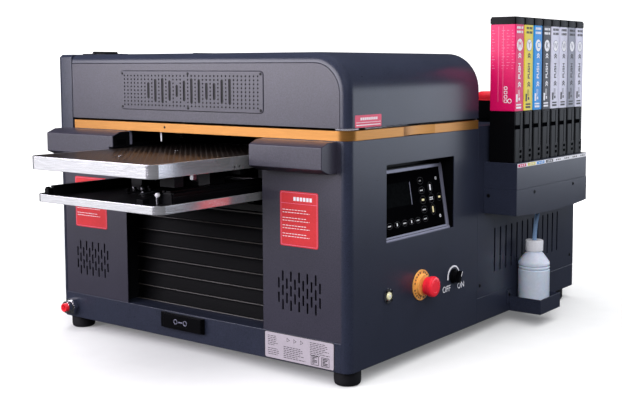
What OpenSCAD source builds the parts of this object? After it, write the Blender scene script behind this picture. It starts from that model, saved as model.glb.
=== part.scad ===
// Desktop flatbed printer: a cabinet with a side-hinged hood, a print bed that slides out of the
// front and rises and sinks on a lift stage, a control side, and an ink bay with a waste bottle.
// X runs to the right across the front, Y runs to the back and Z runs up from the floor.

/* [Cabinet] */
// Width of the cabinet across the front
body_w = 782; // [775:1:790]
// Depth of the cabinet from front panel to rear panel
body_d = 944; // [940:1:960]
// Depth of the tall front half under the hood
tall_d = 459; // [455:1:465]
// Height of the rubber feet
foot_h = 28; // [24:1:32]
// Height of the base box above the feet
base_h = 54; // [50:1:56]
// Height above the floor where the front and side covers end
cover_top = 442; // [440:1:444]
// Radius of the upright corners of the covers
corner_r = 17; // [12:1:20]
// Thickness of the sheet-metal covers
sheet = 2; // [1.5:0.5:2.5]

/* [Hood] */
// Height of the gold trim that the hood closes on
trim_h = 18; // [16:1:20]
// Radius of the trim's front corner
trim_r = 28; // [24:1:32]
// Height above the floor of the top of the hood
hood_top = 598; // [594:1:602]
// Radius of the hood's upper right edge
hood_r = 75; // [60:1:85]
// Width of the fixed column that carries the hinges
column_w = 50; // [46:1:54]
// Length of one hinge
hinge_len = 66; // [60:1:90]

/* [Print bed] */
// Width of the upper bed
bed_w = 332; // [320:1:332]
// Length of the upper bed
bed_len = 440; // [430:1:445]
// How far the bed stands out of the front at rest
bed_out = 240; // [230:1:250]
// Height above the floor of the upper bed's face
bed_top = 407; // [404:1:408]
// Thickness of the upper bed
bed_thick = 25; // [22:1:26]
// Width of the lower tray
tray_w = 330; // [320:1:332]
// Height above the floor of the lower tray's rim
tray_top = 337; // [334:1:338]
// Height of the lower tray's rim band
tray_thick = 15; // [14:1:16]
// Radius of the bed's and tray's corners
bed_r = 18; // [14:1:24]

/* [Ink bay] */
// How far the ink bay stands out of the side
bay_w = 78; // [76:1:82]
// Length of the ink bay
bay_len = 352; // [350:1:356]
// Height above the floor of the ink bay's upper edge
bay_top = 371; // [368:1:374]
// Number of ink cartridges
cart_count = 8; // [4:1:8]
// Thickness of one cartridge
cart_t = 40.5; // [38:0.5:41]
// Width of one cartridge
cart_w = 60; // [56:1:62]
// Height above the floor of the cartridge tops
cart_top = 674; // [660:1:680]

/* [Waste bottle] */
// Radius of the bottle
bottle_r = 35; // [30:1:35]
// Height of the bottle to the top of its cap
bottle_h = 155; // [150:1:160]
// Radius of the waste hose
hose_r = 5; // [4:0.5:5]

/* [Controls] */
// Width of the control panel's opening
panel_w = 242; // [230:1:246]
// Height of the control panel's opening
panel_h = 144; // [138:1:150]
// How far the control panel leans back
panel_lean = 9; // [6:1:12]
// Radius of the emergency stop's yellow plate
estop_r = 30; // [28:1:32]
// Radius of the emergency stop's red head
mushroom_r = 20; // [18:1:22]

/* [Hidden] */
$fn = 48;

// main planes of the cabinet, with the outermost screw heads counted in
head_h = 1.5;
x_left = -(body_w + bay_w) / 2;
x_right = x_left + body_w;
y_front = -(body_d + bed_out + head_h) / 2 + bed_out;
y_back = y_front + body_d;
y_step = y_front + tall_d;
base_top = foot_h + base_h;
panel_y = y_front + 1;
rear_top = cover_top + 5;
trim_top = cover_top + trim_h;
trim_t = 14;
hood_bot = trim_top + 4;
x_seam = x_left + column_w;
gap = 0.3;

// grille plate on the hood's front
grille_x0 = x_right - 578;
grille_w = 385;
grille_z = 525;
grille_h = 78;
slot_count = 12;

// housings of the light sensors under the trim
housing_z = cover_top - 57;

// feet
foot_r = 25;
foot_xs = [x_left + 28, x_right - 28];
foot_ys = [y_front + 34, y_back - 56];

// front opening between the two front panels
open_x0 = x_left + 211;
open_x1 = x_right - 199;
mid_x = (open_x0 + open_x1) / 2;
wall_t = 3;
wall_x0 = open_x0 - 21;
wall_top = bed_top + 8;

// hood hinges
axis_x = x_seam;
axis_z = hood_top + 3.5;
knuckle_r = 3.5;
pin_r = 1.75;
knuckle_len = 16;
leaf_w = 36;
leaf_t = 2.5;
hinge_ys = [y_front + 60, y_step - 92];

// lift stage
stage_z = 292;
stage_t = 14;
stage_x0 = open_x0 + 4;
stage_x1 = open_x1 - 2;
stage_y0 = y_front + 60;
stage_y1 = y_back - 32;
rod_r = 6;
rod_xs = [open_x0 - 9, stage_x1 - 9];
rod_ys = [-200, 300];
ear = 14;
screw_y = 50;
rod_top = 350;
rail_xs = [mid_x - 87, mid_x + 87];
rail_w = 20;
rail_h = 10;

// bed and tray
bed_x0 = mid_x - bed_w / 2 - 16;
bed_x1 = bed_x0 + bed_w;
bed_y0 = y_front - bed_out;
bed_y1 = bed_y0 + bed_len;
tray_x0 = mid_x - tray_w / 2;
tray_x1 = tray_x0 + tray_w;
band_t = 4;

// gantry, carriage and capping station
beam_y = y_front + 292;
beam_z = 500;
beam_x0 = x_left + 70;
beam_x1 = x_right - 24;
head_z = bed_top + 20;
park_x = 180;

// side controls
pan_y0 = y_front + 118;
pan_z0 = 248;
stop_y = -116;
stop_z = 150;
dial_y = 8;
dial_z = 147;
push_y = -230;
push_z = 149;

// slots in the sides and the screw under the grille
left_slots = 14;
right_slots = 13;
trim_screw_x = x_left + 329;

// labels: low and high corners across the front
warn_right = [x_right - 156, 246, x_right - 68, 347];
warn_left = [x_left + 51, 230, x_left + 151, 338];
plate_x = [x_right - 195, x_right - 32];
label_t = 0.6;

// ink bay
bay_y0 = y_front + 483;
bay_y1 = bay_y0 + bay_len;
bay_x1 = x_right + bay_w;
bay_split = bay_top - 56;
bay_bot = bay_split - 53;
cart_x0 = x_right + 8;
cart_y0 = bay_y0 + 6;
cart_pitch = 43;
cart_z0 = 300;

// waste bottle and its tray
bottle_x = x_right + 38;
bottle_y = y_front + 650;
rack_y0 = y_front + 608;
rack_d = 100;
rack_z0 = foot_h;
rack_h = 33;
bottle_z = rack_z0 + 3;
cap_h = 24;

// status light
beacon_r = 34;
beacon_h = 68;

// front base details
latch_x0 = x_left + 313;
latch_x1 = x_left + 432;
port_x = x_left + 37;
port_z = foot_h + 24;
pin_x = -118;
pin_y = y_front + 7;
sense_r = 1.3;

// colours
cover_col = "#32343c";
front_col = "#4a4a55";
black = "#17181b";
gold = "#d08c3c";
alu = "#c9cbd0";
steel = "#9a9da3";
red = "#c8303a";

// ---------- helpers ----------

// box from its low corner to its high corner
module block(lo, hi) translate(lo) cube(hi - lo);

// flat rectangle with four round corners
module round_rect(x0, x1, y0, y1, r) {
    translate([x0 + r, y0]) square([x1 - x0 - 2 * r, y1 - y0]);
    translate([x0, y0 + r]) square([x1 - x0, y1 - y0 - 2 * r]);
    for (x = [x0 + r, x1 - r], y = [y0 + r, y1 - r]) translate([x, y]) circle(r);
}

// cylinder along +X, or along -Y towards the front
module rod_x(pos, r, len) translate(pos) rotate([0, 90, 0]) cylinder(r = r, h = len);
module rod_front(pos, r, len) translate(pos) rotate([90, 0, 0]) cylinder(r = r, h = len);

// upright slot with round ends, cut along Y or along X
module slot_y(x, y, z, w, h) translate([x, y + 10, z]) rotate([90, 0, 0])
    linear_extrude(20) round_rect(-w / 2, w / 2, 0, h, w * 0.49);
module slot_x(x, y, z, w, h) translate([x - 10, y, z]) rotate([90, 0, 90])
    linear_extrude(20) round_rect(-w / 2, w / 2, 0, h, w * 0.49);

// ring of band around a round-cornered rectangle
module band(x0, x1, y0, y1, r, t, z, h) translate([0, 0, z]) linear_extrude(h) difference() {
    round_rect(x0, x1, y0, y1, r);
    round_rect(x0 + t, x1 - t, y0 + t, y1 - t, r - t);
}

// quarter ring of sheet at an upright front corner, side = 1 right, -1 left
module corner_strip(side) {
    cx = side > 0 ? x_right - corner_r : x_left + corner_r;
    intersection() {
        translate([cx, y_front + corner_r]) difference() {
            circle(corner_r);
            circle(corner_r - sheet);
        }
        translate([side > 0 ? cx : cx - corner_r, y_front]) square(corner_r);
    }
}

// ---------- base ----------

module base_plan(inset) {
    x0 = x_left + inset;
    x1 = x_right - max(inset, sheet);
    r = corner_r - max(inset, sheet);
    translate([x_left + corner_r, y_front + inset])
        square([body_w - 2 * corner_r, body_d - 2 * inset]);
    translate([x0, y_front + corner_r]) square([x1 - x0, body_d - corner_r - inset]);
    translate([x_left + corner_r, y_front + corner_r]) circle(corner_r - inset);
    translate([x_right - corner_r, y_front + corner_r]) circle(r);
}

// closed base box with a floor, walls and a deck, and a cable hole in its deck
module base_chassis() color(cover_col) difference() {
    union() {
        translate([0, 0, foot_h]) linear_extrude(base_h) base_plan(0);
        block([x_right - 3, y_step, foot_h], [x_right, y_back, base_top]);
    }
    translate([0, 0, foot_h + 3]) linear_extrude(base_h - 6) base_plan(5);
    translate([x_left + 100, y_back - 100, base_top - 10]) cylinder(r = 20, h = 20);
    rod_front([port_x, y_front + 10, port_z], 8.1, 20);
}

module feet() color(black)
    for (x = foot_xs, y = foot_ys) translate([x, y, 0]) rotate_extrude()
        polygon([[0, 0], [foot_r - 5, 0], [foot_r, 5], [foot_r, foot_h], [0, foot_h]]);

// ---------- covers ----------

module right_cover() color(cover_col) difference() {
    translate([0, 0, foot_h]) linear_extrude(cover_top - foot_h) {
        corner_strip(1);
        translate([x_right - sheet, y_front + corner_r]) square([sheet, tall_d - corner_r]);
    }
    block([x_right - 9, pan_y0, pan_z0], [x_right + 1, pan_y0 + panel_w, pan_z0 + panel_h]);
    rod_x([x_right - 5, stop_y, stop_z], 11.1, 10);
    rod_x([x_right - 5, dial_y, dial_z], 11.1, 10);
    rod_x([x_right - 5, push_y, push_z], 9.6, 10);
}

// left side sheet over the whole depth, with the hinge column standing on its front half
module left_cover() color(cover_col) difference() {
    union() {
        translate([0, 0, base_top]) linear_extrude(hood_top - 6 - base_top) corner_strip(-1);
        block([x_left, y_front + corner_r, base_top], [x_left + sheet, y_step, hood_top - 6]);
        block([x_left, y_step, base_top], [x_left + sheet, y_back, rear_top - sheet]);
        block([x_left + corner_r, y_front, cover_top], [x_seam - 1, y_front + sheet, hood_top - 6]);
        block([x_seam - 3, y_front + sheet, cover_top], [x_seam - 1, y_step, hood_top - 6]);
        block([x_left, y_step - sheet, rear_top], [x_seam - 1, y_step, hood_top - 6]);
        column_lid();
    }
    for (i = [0:left_slots - 1]) slot_x(x_left, 180 + 18 * i, 140, 6, 110);
}

// footprint of the hinge column, inset from its outer edges
module column_plan(inset) {
    translate([x_left + corner_r, y_front + corner_r]) circle(corner_r - inset);
    translate([x_left + corner_r, y_front + inset]) square([column_w - 1 - corner_r, tall_d - inset]);
    translate([x_left + inset, y_front + corner_r]) square([column_w - 1 - inset, tall_d - corner_r]);
}

// lid of the hinge column, with its outer edges cut at 45 degrees
module column_lid() {
    hull() {
        translate([0, 0, hood_top - 6]) linear_extrude(0.5) column_plan(0);
        translate([0, 0, hood_top - 0.5]) linear_extrude(0.5) column_plan(6);
    }
}

module vents(x0) for (i = [0:10]) {
    tall = i % 2 == 1;
    for (j = [0:(tall ? 2 : 1)])
        slot_y(x0 + 9.6 * i, panel_y, 125 + (tall ? 0 : 13) + 27 * j, 4, 20);
}

module front_panel(x0, x1) block([x0, panel_y, base_top], [x1, panel_y + sheet, cover_top]);

module front_panel_right() color(front_col) difference() {
    front_panel(open_x1, x_right - corner_r);
    vents(x_right - 161);
}

module front_panel_left() color(front_col) difference() {
    front_panel(x_left + corner_r, open_x0);
    vents(x_left + 54);
}

// inner side walls of the print chamber
module chamber_walls() color(black) {
    block([wall_x0 - wall_t, panel_y + sheet, base_top], [wall_x0, y_back - 30, wall_top]);
    block([open_x1, panel_y + sheet, base_top], [open_x1 + wall_t, y_back - 30, wall_top]);
}

// outline with cut edges of the sensor housings
module housing_plan(x0, x1) translate([x0, panel_y, housing_z]) rotate([90, 0, 90])
    linear_extrude(x1 - x0) polygon([[0, 0], [0, 56], [-24, 56], [-45, 48], [-45, 9], [-24, 0]]);

// hollow housing for the light sensors beside the bed
module sensor_housing(x0, x1) difference() {
    housing_plan(x0, x1);
    translate([x0 + 3, panel_y, housing_z]) rotate([90, 0, 90]) linear_extrude(x1 - x0 - 6)
        polygon([[1, 3], [1, 53], [-24, 53], [-42, 46], [-42, 11], [-24, 3]]);
}

// the left housing's nose reaches over the edge of the bed
module sensor_housings() color(front_col) {
    sensor_housing(x_left + 17, open_x0 + 2);
    intersection() {
        housing_plan(open_x0 + 1, open_x0 + 14);
        block([open_x0, y_front - 50, bed_top + 3], [open_x0 + 15, panel_y, cover_top]);
    }
    sensor_housing(open_x1 + 7, x_right - 26);
}

// gold frame under the hood, scooped on the right for the fingers that lift the hood
module gold_trim() color(gold) difference() {
    translate([0, 0, cover_top]) linear_extrude(trim_h) {
        translate([x_left + 55, y_front]) square([body_w - 55 - trim_r, trim_t]);
        translate([x_right - trim_t, y_front + trim_r]) square([trim_t, tall_d - trim_r]);
        intersection() {
            translate([x_right - trim_r, y_front + trim_r]) difference() {
                circle(trim_r);
                circle(trim_r - trim_t);
            }
            translate([x_right - trim_r, y_front]) square(trim_r);
        }
    }
    translate([x_right + 192, y_front + 230, cover_top - 1]) cylinder(r = 200, h = trim_h + 2, $fn = 96);
    translate([pin_x, pin_y, cover_top - 1]) cylinder(r = sense_r + 0.05, h = trim_h + 2);
}

// top sheet of the rear part, with a lip that closes the gap behind the hood
module rear_top_cover() color(cover_col) {
    block([x_left, y_step, rear_top - sheet], [x_right, y_back, rear_top]);
    block([x_seam, y_step + 1, rear_top], [x_right - 8, y_step + 1 + sheet, hood_bot + 20]);
}

module rear_side_right() color(cover_col) difference() {
    block([x_right - sheet, y_step, base_top], [x_right, y_back - sheet, rear_top - sheet]);
    for (i = [0:right_slots - 1]) slot_x(x_right, bay_y0 + 53 + 26.2 * i, 128, 6, 96);
}

module rear_panel() color(cover_col) difference() {
    block([x_left + sheet, y_back - sheet, base_top], [x_right, y_back, rear_top - sheet]);
    block([x_left + 59, y_back - 9, 119], [x_left + 109, y_back + 1, 149]);
    for (i = [0:9], s = [-1, 1]) slot_y(170 * s + 14 * (i - 4.5), y_back, 220, 6, 90);
}

// rocker-style mains inlet set into the rear panel
module power_inlet() color(black) difference() {
    block([x_left + 59, y_back - 30, 119], [x_left + 109, y_back, 149]);
    block([x_left + 70, y_back - 20, 124], [x_left + 98, y_back + 1, 144]);
}

// ---------- control side ----------

// dark pocket behind the opening
module panel_housing() color(black) difference() {
    y1 = pan_y0 + panel_w;
    z1 = pan_z0 + panel_h;
    block([x_right - 48, pan_y0 - 32, pan_z0 - 8], [x_right - sheet, y1 + 6, z1 + 8]);
    block([x_right - 46, pan_y0 - 30, pan_z0 - 6], [x_right, y1 + 4, z1 + 6]);
}

// leaning control panel with a bezel frame
module panel_face() color("#0b0c0e")
    translate([x_right - 8, 0, pan_z0 - 1]) rotate([0, -panel_lean, 0])
        block([-8, pan_y0 - 28, -3.7], [0, pan_y0 + panel_w - 4, panel_h - 10]);

module estop_base() color("#e8b030") difference() {
    union() {
        rod_x([x_right, stop_y, stop_z], estop_r, 2.5);
        rod_x([x_right, stop_y, stop_z], 21, 8);
        rod_x([x_right - 30, stop_y, stop_z], 11, 31);
    }
    rod_x([x_right - 31, stop_y, stop_z], 6.05, 50);
}

// fixed rings of the dial and of the push button
module switch_bezels() color(steel) {
    difference() {
        union() {
            rod_x([x_right, dial_y, dial_z], 15, 4);
            rod_x([x_right - 24, dial_y, dial_z], 11, 25);
        }
        rod_x([x_right - 25, dial_y, dial_z], 4.05, 40);
    }
    difference() {
        union() {
            rod_x([x_right, push_y, push_z], 14, 3.5);
            rod_x([x_right - 24, push_y, push_z], 9.5, 25);
        }
        rod_x([x_right - 25, push_y, push_z], 7.05, 40);
    }
}

module estop_stem() color(steel) rod_x([x_right - 24, stop_y, stop_z], 6, 44);

module estop_head() color(red) difference() {
    union() {
        rod_x([x_right + 14, stop_y, stop_z], 17.5, 8);
        rod_x([x_right + 20, stop_y, stop_z], mushroom_r, 12);
        rod_x([x_right + 32, stop_y, stop_z], mushroom_r - 2, 2);
    }
    rod_x([x_right + 13, stop_y, stop_z], 6.05, 9);
}

module selector_knob() color(black) {
    rod_x([x_right - 20, dial_y, dial_z], 4, 26);
    rod_x([x_right + 4 + gap, dial_y, dial_z], 12, 6);
    translate([x_right + 10, dial_y, dial_z]) rotate([-30, 0, 0])
        block([0, -4, -12], [8, 4, 12]);
}

module push_button() color("#d8d4a0") {
    rod_x([x_right - 18, push_y, push_z], 7, 23);
}

// ---------- hood ----------

// side profile of the hood seen from the front, inset from its top and right edges
function hood_outline(i) = concat(
    [[x_seam + 1, hood_bot], [x_right - i, hood_bot]],
    [for (a = [0:7.5:90])
        [x_right - hood_r + (hood_r - i) * cos(a), hood_top - hood_r + (hood_r - i) * sin(a)]],
    [[x_seam + 1, hood_top - i]]);

module hood_slice(i, y, t) translate([0, y + t, 0]) rotate([90, 0, 0])
    linear_extrude(t) polygon(hood_outline(i));

// shell with a round front edge, open below and at its hinge end
module hood_shell() color(cover_col) difference() {
    hull() {
        for (a = [0:15:90])
            hood_slice(corner_r * (1 - sin(a)), y_front + corner_r * (1 - cos(a)), 0.1);
        hood_slice(0, y_step - 1, 1);
    }
    hood_cavity();
    hood_slice(corner_r + 2, y_front - 1, 3);
}

module hood_cavity() translate([-3, 0, -3]) hull() {
    for (a = [0:30:90])
        hood_slice(corner_r * (1 - sin(a)), y_front + 6 + corner_r * (1 - cos(a)), 0.1);
    hood_slice(0, y_step - 3, 0.1);
}

module hood_front_panel() color(front_col)
    hood_slice(corner_r + 2.4, y_front, 2);

// grille plate with a row of slots whose heights rise and fall
module perforated_plate() color(front_col) translate([0, y_front, 0]) rotate([90, 0, 0])
    linear_extrude(1.5) difference() {
        round_rect(grille_x0, grille_x0 + grille_w, grille_z - grille_h / 2, grille_z + grille_h / 2, 8);
        for (i = [0:slot_count - 1]) {
            x = grille_x0 + grille_w / 2 + 20 * (i - (slot_count - 1) / 2);
            half = 12 + 13 * abs(sin(40 * i + 20));
            round_rect(x - 3, x + 3, grille_z - half, grille_z + half, 2.9);
        }
    }

// hinge leaves: the fixed ones carry the outer knuckles and the pin
module hinge_fixed() color(steel) for (y = hinge_ys) {
    block([axis_x - leaf_w, y, hood_top], [axis_x - 6, y + hinge_len, hood_top + leaf_t]);
    for (s = [0, hinge_len - knuckle_len]) {
        block([axis_x - 6, y + s, hood_top + gap], [axis_x, y + s + knuckle_len, hood_top + leaf_t]);
        translate([axis_x, y + s, axis_z]) rotate([-90, 0, 0]) cylinder(r = knuckle_r, h = knuckle_len);
    }
    translate([axis_x, y + 1, axis_z]) rotate([-90, 0, 0]) cylinder(r = pin_r, h = hinge_len - 2);
}

module hinge_moving() color(steel) for (y = hinge_ys) difference() {
    union() {
        block([axis_x + 6, y, hood_top], [axis_x + leaf_w, y + hinge_len, hood_top + leaf_t]);
        block([axis_x, y + knuckle_len + gap, hood_top + gap],
              [axis_x + 7, y + hinge_len - knuckle_len - gap, hood_top + leaf_t]);
        translate([axis_x, y + knuckle_len + gap, axis_z]) rotate([-90, 0, 0])
            cylinder(r = knuckle_r, h = hinge_len - 2 * (knuckle_len + gap));
    }
    translate([axis_x, y, axis_z]) rotate([-90, 0, 0]) cylinder(r = pin_r + 0.05, h = hinge_len);
}

// ---------- lift stage and bed ----------

module z_guide_rods() color(steel) {
    for (x = rod_xs, y = rod_ys) translate([x, y, base_top])
        cylinder(r = rod_r, h = rod_top - base_top);
}

module lead_screw() color(steel) translate([rod_xs[1], screw_y, base_top + 2])
    cylinder(r = rod_r, h = rod_top - base_top - 6);

module z_platform() color(black) difference() {
    union() {
        block([stage_x0, stage_y0, stage_z], [stage_x1, stage_y1, stage_z + stage_t]);
        for (y = rod_ys)
            block([rod_xs[0] - 9, y - ear, stage_z], [stage_x0 + 1, y + ear, stage_z + stage_t]);
        for (x = rail_xs)
            block([x - rail_w / 2, stage_y0, stage_z + stage_t],
                  [x + rail_w / 2, stage_y1, stage_z + stage_t + rail_h]);
    }
    for (x = rod_xs, y = rod_ys) translate([x, y, stage_z - 1]) cylinder(r = rod_r + 0.05, h = stage_t + 2);
    translate([rod_xs[1], screw_y, stage_z - 1]) cylinder(r = rod_r + 0.05, h = stage_t + 2);
}

// pleated cover in front of the lift
module bellows() color("#101114") {
    folds = 7;
    h = (stage_z - 1 - base_top) / folds;
    y0 = stage_y0 - 12;
    x0 = wall_x0 + 4;
    front = [for (i = [0:folds])
        each [[y0 + 8, base_top + i * h], if (i < folds) [y0 - 4, base_top + (i + 0.5) * h]]];
    back = [for (i = [folds:-1:0])
        each [[y0 + 10, base_top + i * h], if (i > 0) [y0 - 2, base_top + (i - 0.5) * h]]];
    translate([x0, 0, 0]) rotate([90, 0, 90]) linear_extrude(stage_x1 - x0)
        polygon(concat(front, back));
}

// lower tray with four bearing blocks, corner brackets for the upper bed and a jig rail
module bed_base() color(black) difference() {
    z0 = stage_z + stage_t;
    union() {
        translate([0, 0, tray_top - 11]) linear_extrude(5) round_rect(tray_x0 + band_t, tray_x1 - band_t,
            bed_y0 + band_t, bed_y1 - band_t, bed_r - band_t);
        for (x = rail_xs, y = [stage_y0 + 4, stage_y0 + 84])
            block([x - 22, y, z0 + 1], [x + 22, y + 50, tray_top - 11]);
        for (x = [bed_x0 + 70, bed_x1 - 78], y = [bed_y0 + 190, bed_y1 - 80])
            block([x, y, tray_top - 6], [x + 30, y + 40, bed_top - bed_thick]);
        block([tray_x1 - 58, bed_y0 + 66, tray_top - 6], [tray_x1 - 34, bed_y1 - 100, tray_top + 14]);
        block([tray_x0 + 8, bed_y0 + 30, tray_top - 6], [tray_x0 + 16, bed_y1 - 100, tray_top + 13]);
    }
    for (x = rail_xs)
        block([x - rail_w / 2 - gap, stage_y0 - 1, z0],
              [x + rail_w / 2 + gap, stage_y0 + 150, z0 + rail_h + gap]);
}

module tray_band() color(alu)
    band(tray_x0, tray_x1, bed_y0, bed_y1, bed_r, band_t, tray_top - tray_thick, tray_thick);

module vacuum_bed() color("#3a302c") translate([0, 0, bed_top - bed_thick]) linear_extrude(bed_thick)
    round_rect(bed_x0 + band_t, bed_x1 - band_t, bed_y0 + band_t, bed_y1 - band_t, bed_r - band_t);

module bed_band() color(alu)
    band(bed_x0, bed_x1, bed_y0, bed_y1, bed_r, band_t, bed_top - bed_thick, bed_thick);

// ---------- gantry ----------

module gantry_beam() color(alu) {
    block([beam_x0, beam_y, beam_z], [beam_x1, beam_y + 40, beam_z + 60]);
    block([beam_x0, beam_y - 12, beam_z + 22], [beam_x1, beam_y, beam_z + 37]);
    for (x = [beam_x0, beam_x1 - 50])
        block([x, beam_y + 4, base_top], [x + 12, beam_y + 36, beam_z]);
}

// carriage box that hangs on the rail in front of the beam
module print_carriage() color(black) difference() {
    block([park_x, beam_y - 126, head_z + 43], [park_x + 140, beam_y - 2, beam_z + 72]);
    block([park_x - 1, beam_y - 12 - gap, beam_z + 22 - gap],
          [park_x + 141, beam_y, beam_z + 37 + gap]);
}

module print_head() color(steel) {
    block([park_x + 12, beam_y - 118, head_z], [park_x + 70, beam_y - 20, head_z + 43]);
    block([park_x + 84, beam_y - 118, head_z + 3], [park_x + 132, beam_y - 40, head_z + 43]);
}

// wiping and capping station under the parked head
module capping_station() color(black) difference() {
    block([open_x1 + wall_t, beam_y - 128, 330], [park_x + 118, beam_y - 12, head_z - 2]);
    block([park_x + 10, beam_y - 120, head_z - 12], [park_x + 72, beam_y - 20, head_z]);
}

// ---------- ink bay ----------

// upper rim and floor with one pocket for each cartridge
module ink_bay_frame() color(cover_col) difference() {
    union() {
        block([x_right, bay_y0, bay_split], [bay_x1, bay_y1, bay_top]);
        block([x_right + 3, bay_y0 + 3, cart_z0 - 6], [bay_x1 - 3, bay_y1 - 3, bay_split]);
    }
    for (i = [0:cart_count - 1])
        block([cart_x0 - gap, cart_y0 + cart_pitch * i - gap, cart_z0],
              [cart_x0 + cart_w + gap, cart_y0 + cart_pitch * i + cart_t + gap, bay_top + 1]);
}

// lower cover with a bowed bottom
module ink_bay_cover() color(cover_col) difference() {
    intersection() {
        block([x_right, bay_y0, bay_bot - 10], [bay_x1, bay_y1 + 3, bay_split]);
        bay_bow(0);
    }
    intersection() {
        block([x_right + 3, bay_y0 + 3, bay_bot - 10], [bay_x1 - 3, bay_y1 - 3, bay_split + 1]);
        bay_bow(3);
    }
    translate([x_right + 45, bottle_y + 9, bay_bot - 12]) cylinder(r = 8, h = 20);
}

// large cylinder whose lower edge is the bow of the bay's bottom
module bay_bow(inset) {
    bow_r = 2200;
    translate([x_right - 1, (bay_y0 + bay_y1) / 2 + 8, bay_bot - 8 + bow_r]) rotate([0, 90, 0])
        cylinder(r = bow_r - inset, h = bay_w + 2, $fn = 360);
}

module cartridge(i) {
    cols = ["#d8246c", "#e8d020", "#2090d0", "#202020", "#d8d8dc", "#d8d8dc", "#b8b8bc", "#e4e4e8"];
    y = cart_y0 + cart_pitch * (i - 1);
    color(cols[i - 1]) difference() {
        block([cart_x0, y, cart_z0], [cart_x0 + cart_w, y + cart_t, cart_top]);
        for (x = [cart_x0 - 1, cart_x0 + cart_w - 1])
            block([x, y - 1, cart_top - 20], [x + 2, y + cart_t + 1, cart_top - 17]);
        block([cart_x0 + cart_w - 8, y + 12, 440], [cart_x0 + cart_w + 1, y + cart_t - 12, 456]);
    }
}

// ---------- waste bottle ----------

module bottle_tray() color(cover_col) difference() {
    union() {
        block([x_right, rack_y0, rack_z0], [bay_x1 - 2, rack_y0 + rack_d, rack_z0 + rack_h]);
        block([x_right, rack_y0 - 14, rack_z0 + 18], [x_right + 3, rack_y0 + 2, rack_z0 + 48]);
    }
    block([x_right + 2, rack_y0 + 2, rack_z0 + 3], [bay_x1 - 4, rack_y0 + rack_d - 2, rack_z0 + rack_h + 1]);
}

module waste_bottle() color("#d8dce4") translate([bottle_x, bottle_y, bottle_z]) rotate_extrude() {
    h = bottle_h - cap_h;
    polygon([
        [0, 0], [bottle_r - 3, 0], [bottle_r, 3], [bottle_r, h - 34], [bottle_r - 1.5, h - 33],
        [bottle_r - 1.5, h - 31], [bottle_r, h - 30], [bottle_r, h - 24], [19, h - 2], [17, h - 2],
        [17, h + 10], [15, h + 10], [15, h - 4], [bottle_r - 2, h - 26], [bottle_r - 2, 4], [0, 2]]);
}

module bottle_cap() color("white") translate([bottle_x, bottle_y, bottle_z + bottle_h - cap_h])
    difference() {
        cylinder(r = 20, h = cap_h);
        translate([0, 0, -1]) cylinder(r = 17.05, h = 12);
        translate([0, 0, -1]) cylinder(r = hose_r + 3.3, h = cap_h + 2);
    }

// hose from the bay down through the cap into the bottle
hose_top = [x_right + 45, bottle_y + 9, bay_bot - 2];
hose_mid = [bottle_x, bottle_y, bottle_z + bottle_h + 39];
hose_low = [bottle_x, bottle_y, bottle_z + bottle_h + 19];
hose_end = [bottle_x, bottle_y, bottle_z + 60];

// point on a smooth curve through the hose's four stations
function bezier(t) = pow(1 - t, 3) * hose_top + 3 * pow(1 - t, 2) * t * hose_mid
    + 3 * (1 - t) * t * t * hose_low + pow(t, 3) * hose_end;

module waste_hose() color("#a8c0d8") {
    rings = 14;
    sides = 12;
    pts = [for (k = [0:rings], s = [0:sides - 1])
        bezier(k / rings) + hose_r * [cos(360 * s / sides), sin(360 * s / sides), 0]];
    skin = [for (k = [0:rings - 1], s = [0:sides - 1])
        [k * sides + s, k * sides + (s + 1) % sides, (k + 1) * sides + (s + 1) % sides, (k + 1) * sides + s]];
    ends = [[for (s = [sides - 1:-1:0]) s], [for (s = [0:sides - 1]) rings * sides + s]];
    polyhedron(pts, concat(skin, ends));
}

// ---------- small parts ----------

// status light: a wide body under a low domed lens
module status_beacon() color(red) translate([x_right - 77, y_front + 655, rear_top]) rotate_extrude()
    polygon(concat([[0, 0], [beacon_r, 0], [beacon_r, beacon_h - 20], [beacon_r - 1, beacon_h - 19]],
        [for (a = [0:15:90]) [(beacon_r - 12) + 10 * cos(a), beacon_h - 10 + 10 * sin(a)]], [[0, beacon_h]]));

// labels on the front and the colour strip along the bay's rim
module label_plates() {
    t = label_t;
    color(red) for (w = [warn_right, warn_left])
        block([w[0], panel_y - t, w[1]], [w[2], panel_y, w[3]]);
    color("white") {
        block([plate_x[0], y_front - t, foot_h + 2], [plate_x[1], y_front, base_top - 1]);
        block([bay_x1, bay_y0 + 2, bay_top - 9], [bay_x1 + t, bay_y1 - 2, bay_top - 1]);
    }
}

module latch_base() color(black)
    block([latch_x0, y_front - 4, base_top - 34], [latch_x1, y_front, base_top - 3]);

module latch_slider() color(black)
    block([latch_x0 + 14, y_front - 12, base_top - 32], [latch_x1, y_front - 4 - gap, base_top - 3]);

// bulkhead push-in fitting: hexagon, barrel and tube port
module fitting_body() color(steel) difference() {
    union() {
        translate([port_x, y_front, port_z]) rotate([90, 0, 0]) cylinder(r = 18, h = 12, $fn = 6);
        rod_front([port_x, y_front, port_z], 13, 22);
        rod_front([port_x, y_front + 20, port_z], 8, 21);
    }
    rod_front([port_x, y_front + 8, port_z], 6.1, 40);
    rod_front([port_x, y_front - 10, port_z], 9.05, 20);
}

module fitting_collar() color(red) difference() {
    rod_front([port_x, y_front - 14, port_z], 9, 14);
    rod_front([port_x, y_front, port_z], 6.5, 40);
}

module sensor_pin() color("white") {
    translate([pin_x, pin_y, head_z - 4]) cylinder(r = sense_r, h = 34);
}

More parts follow.
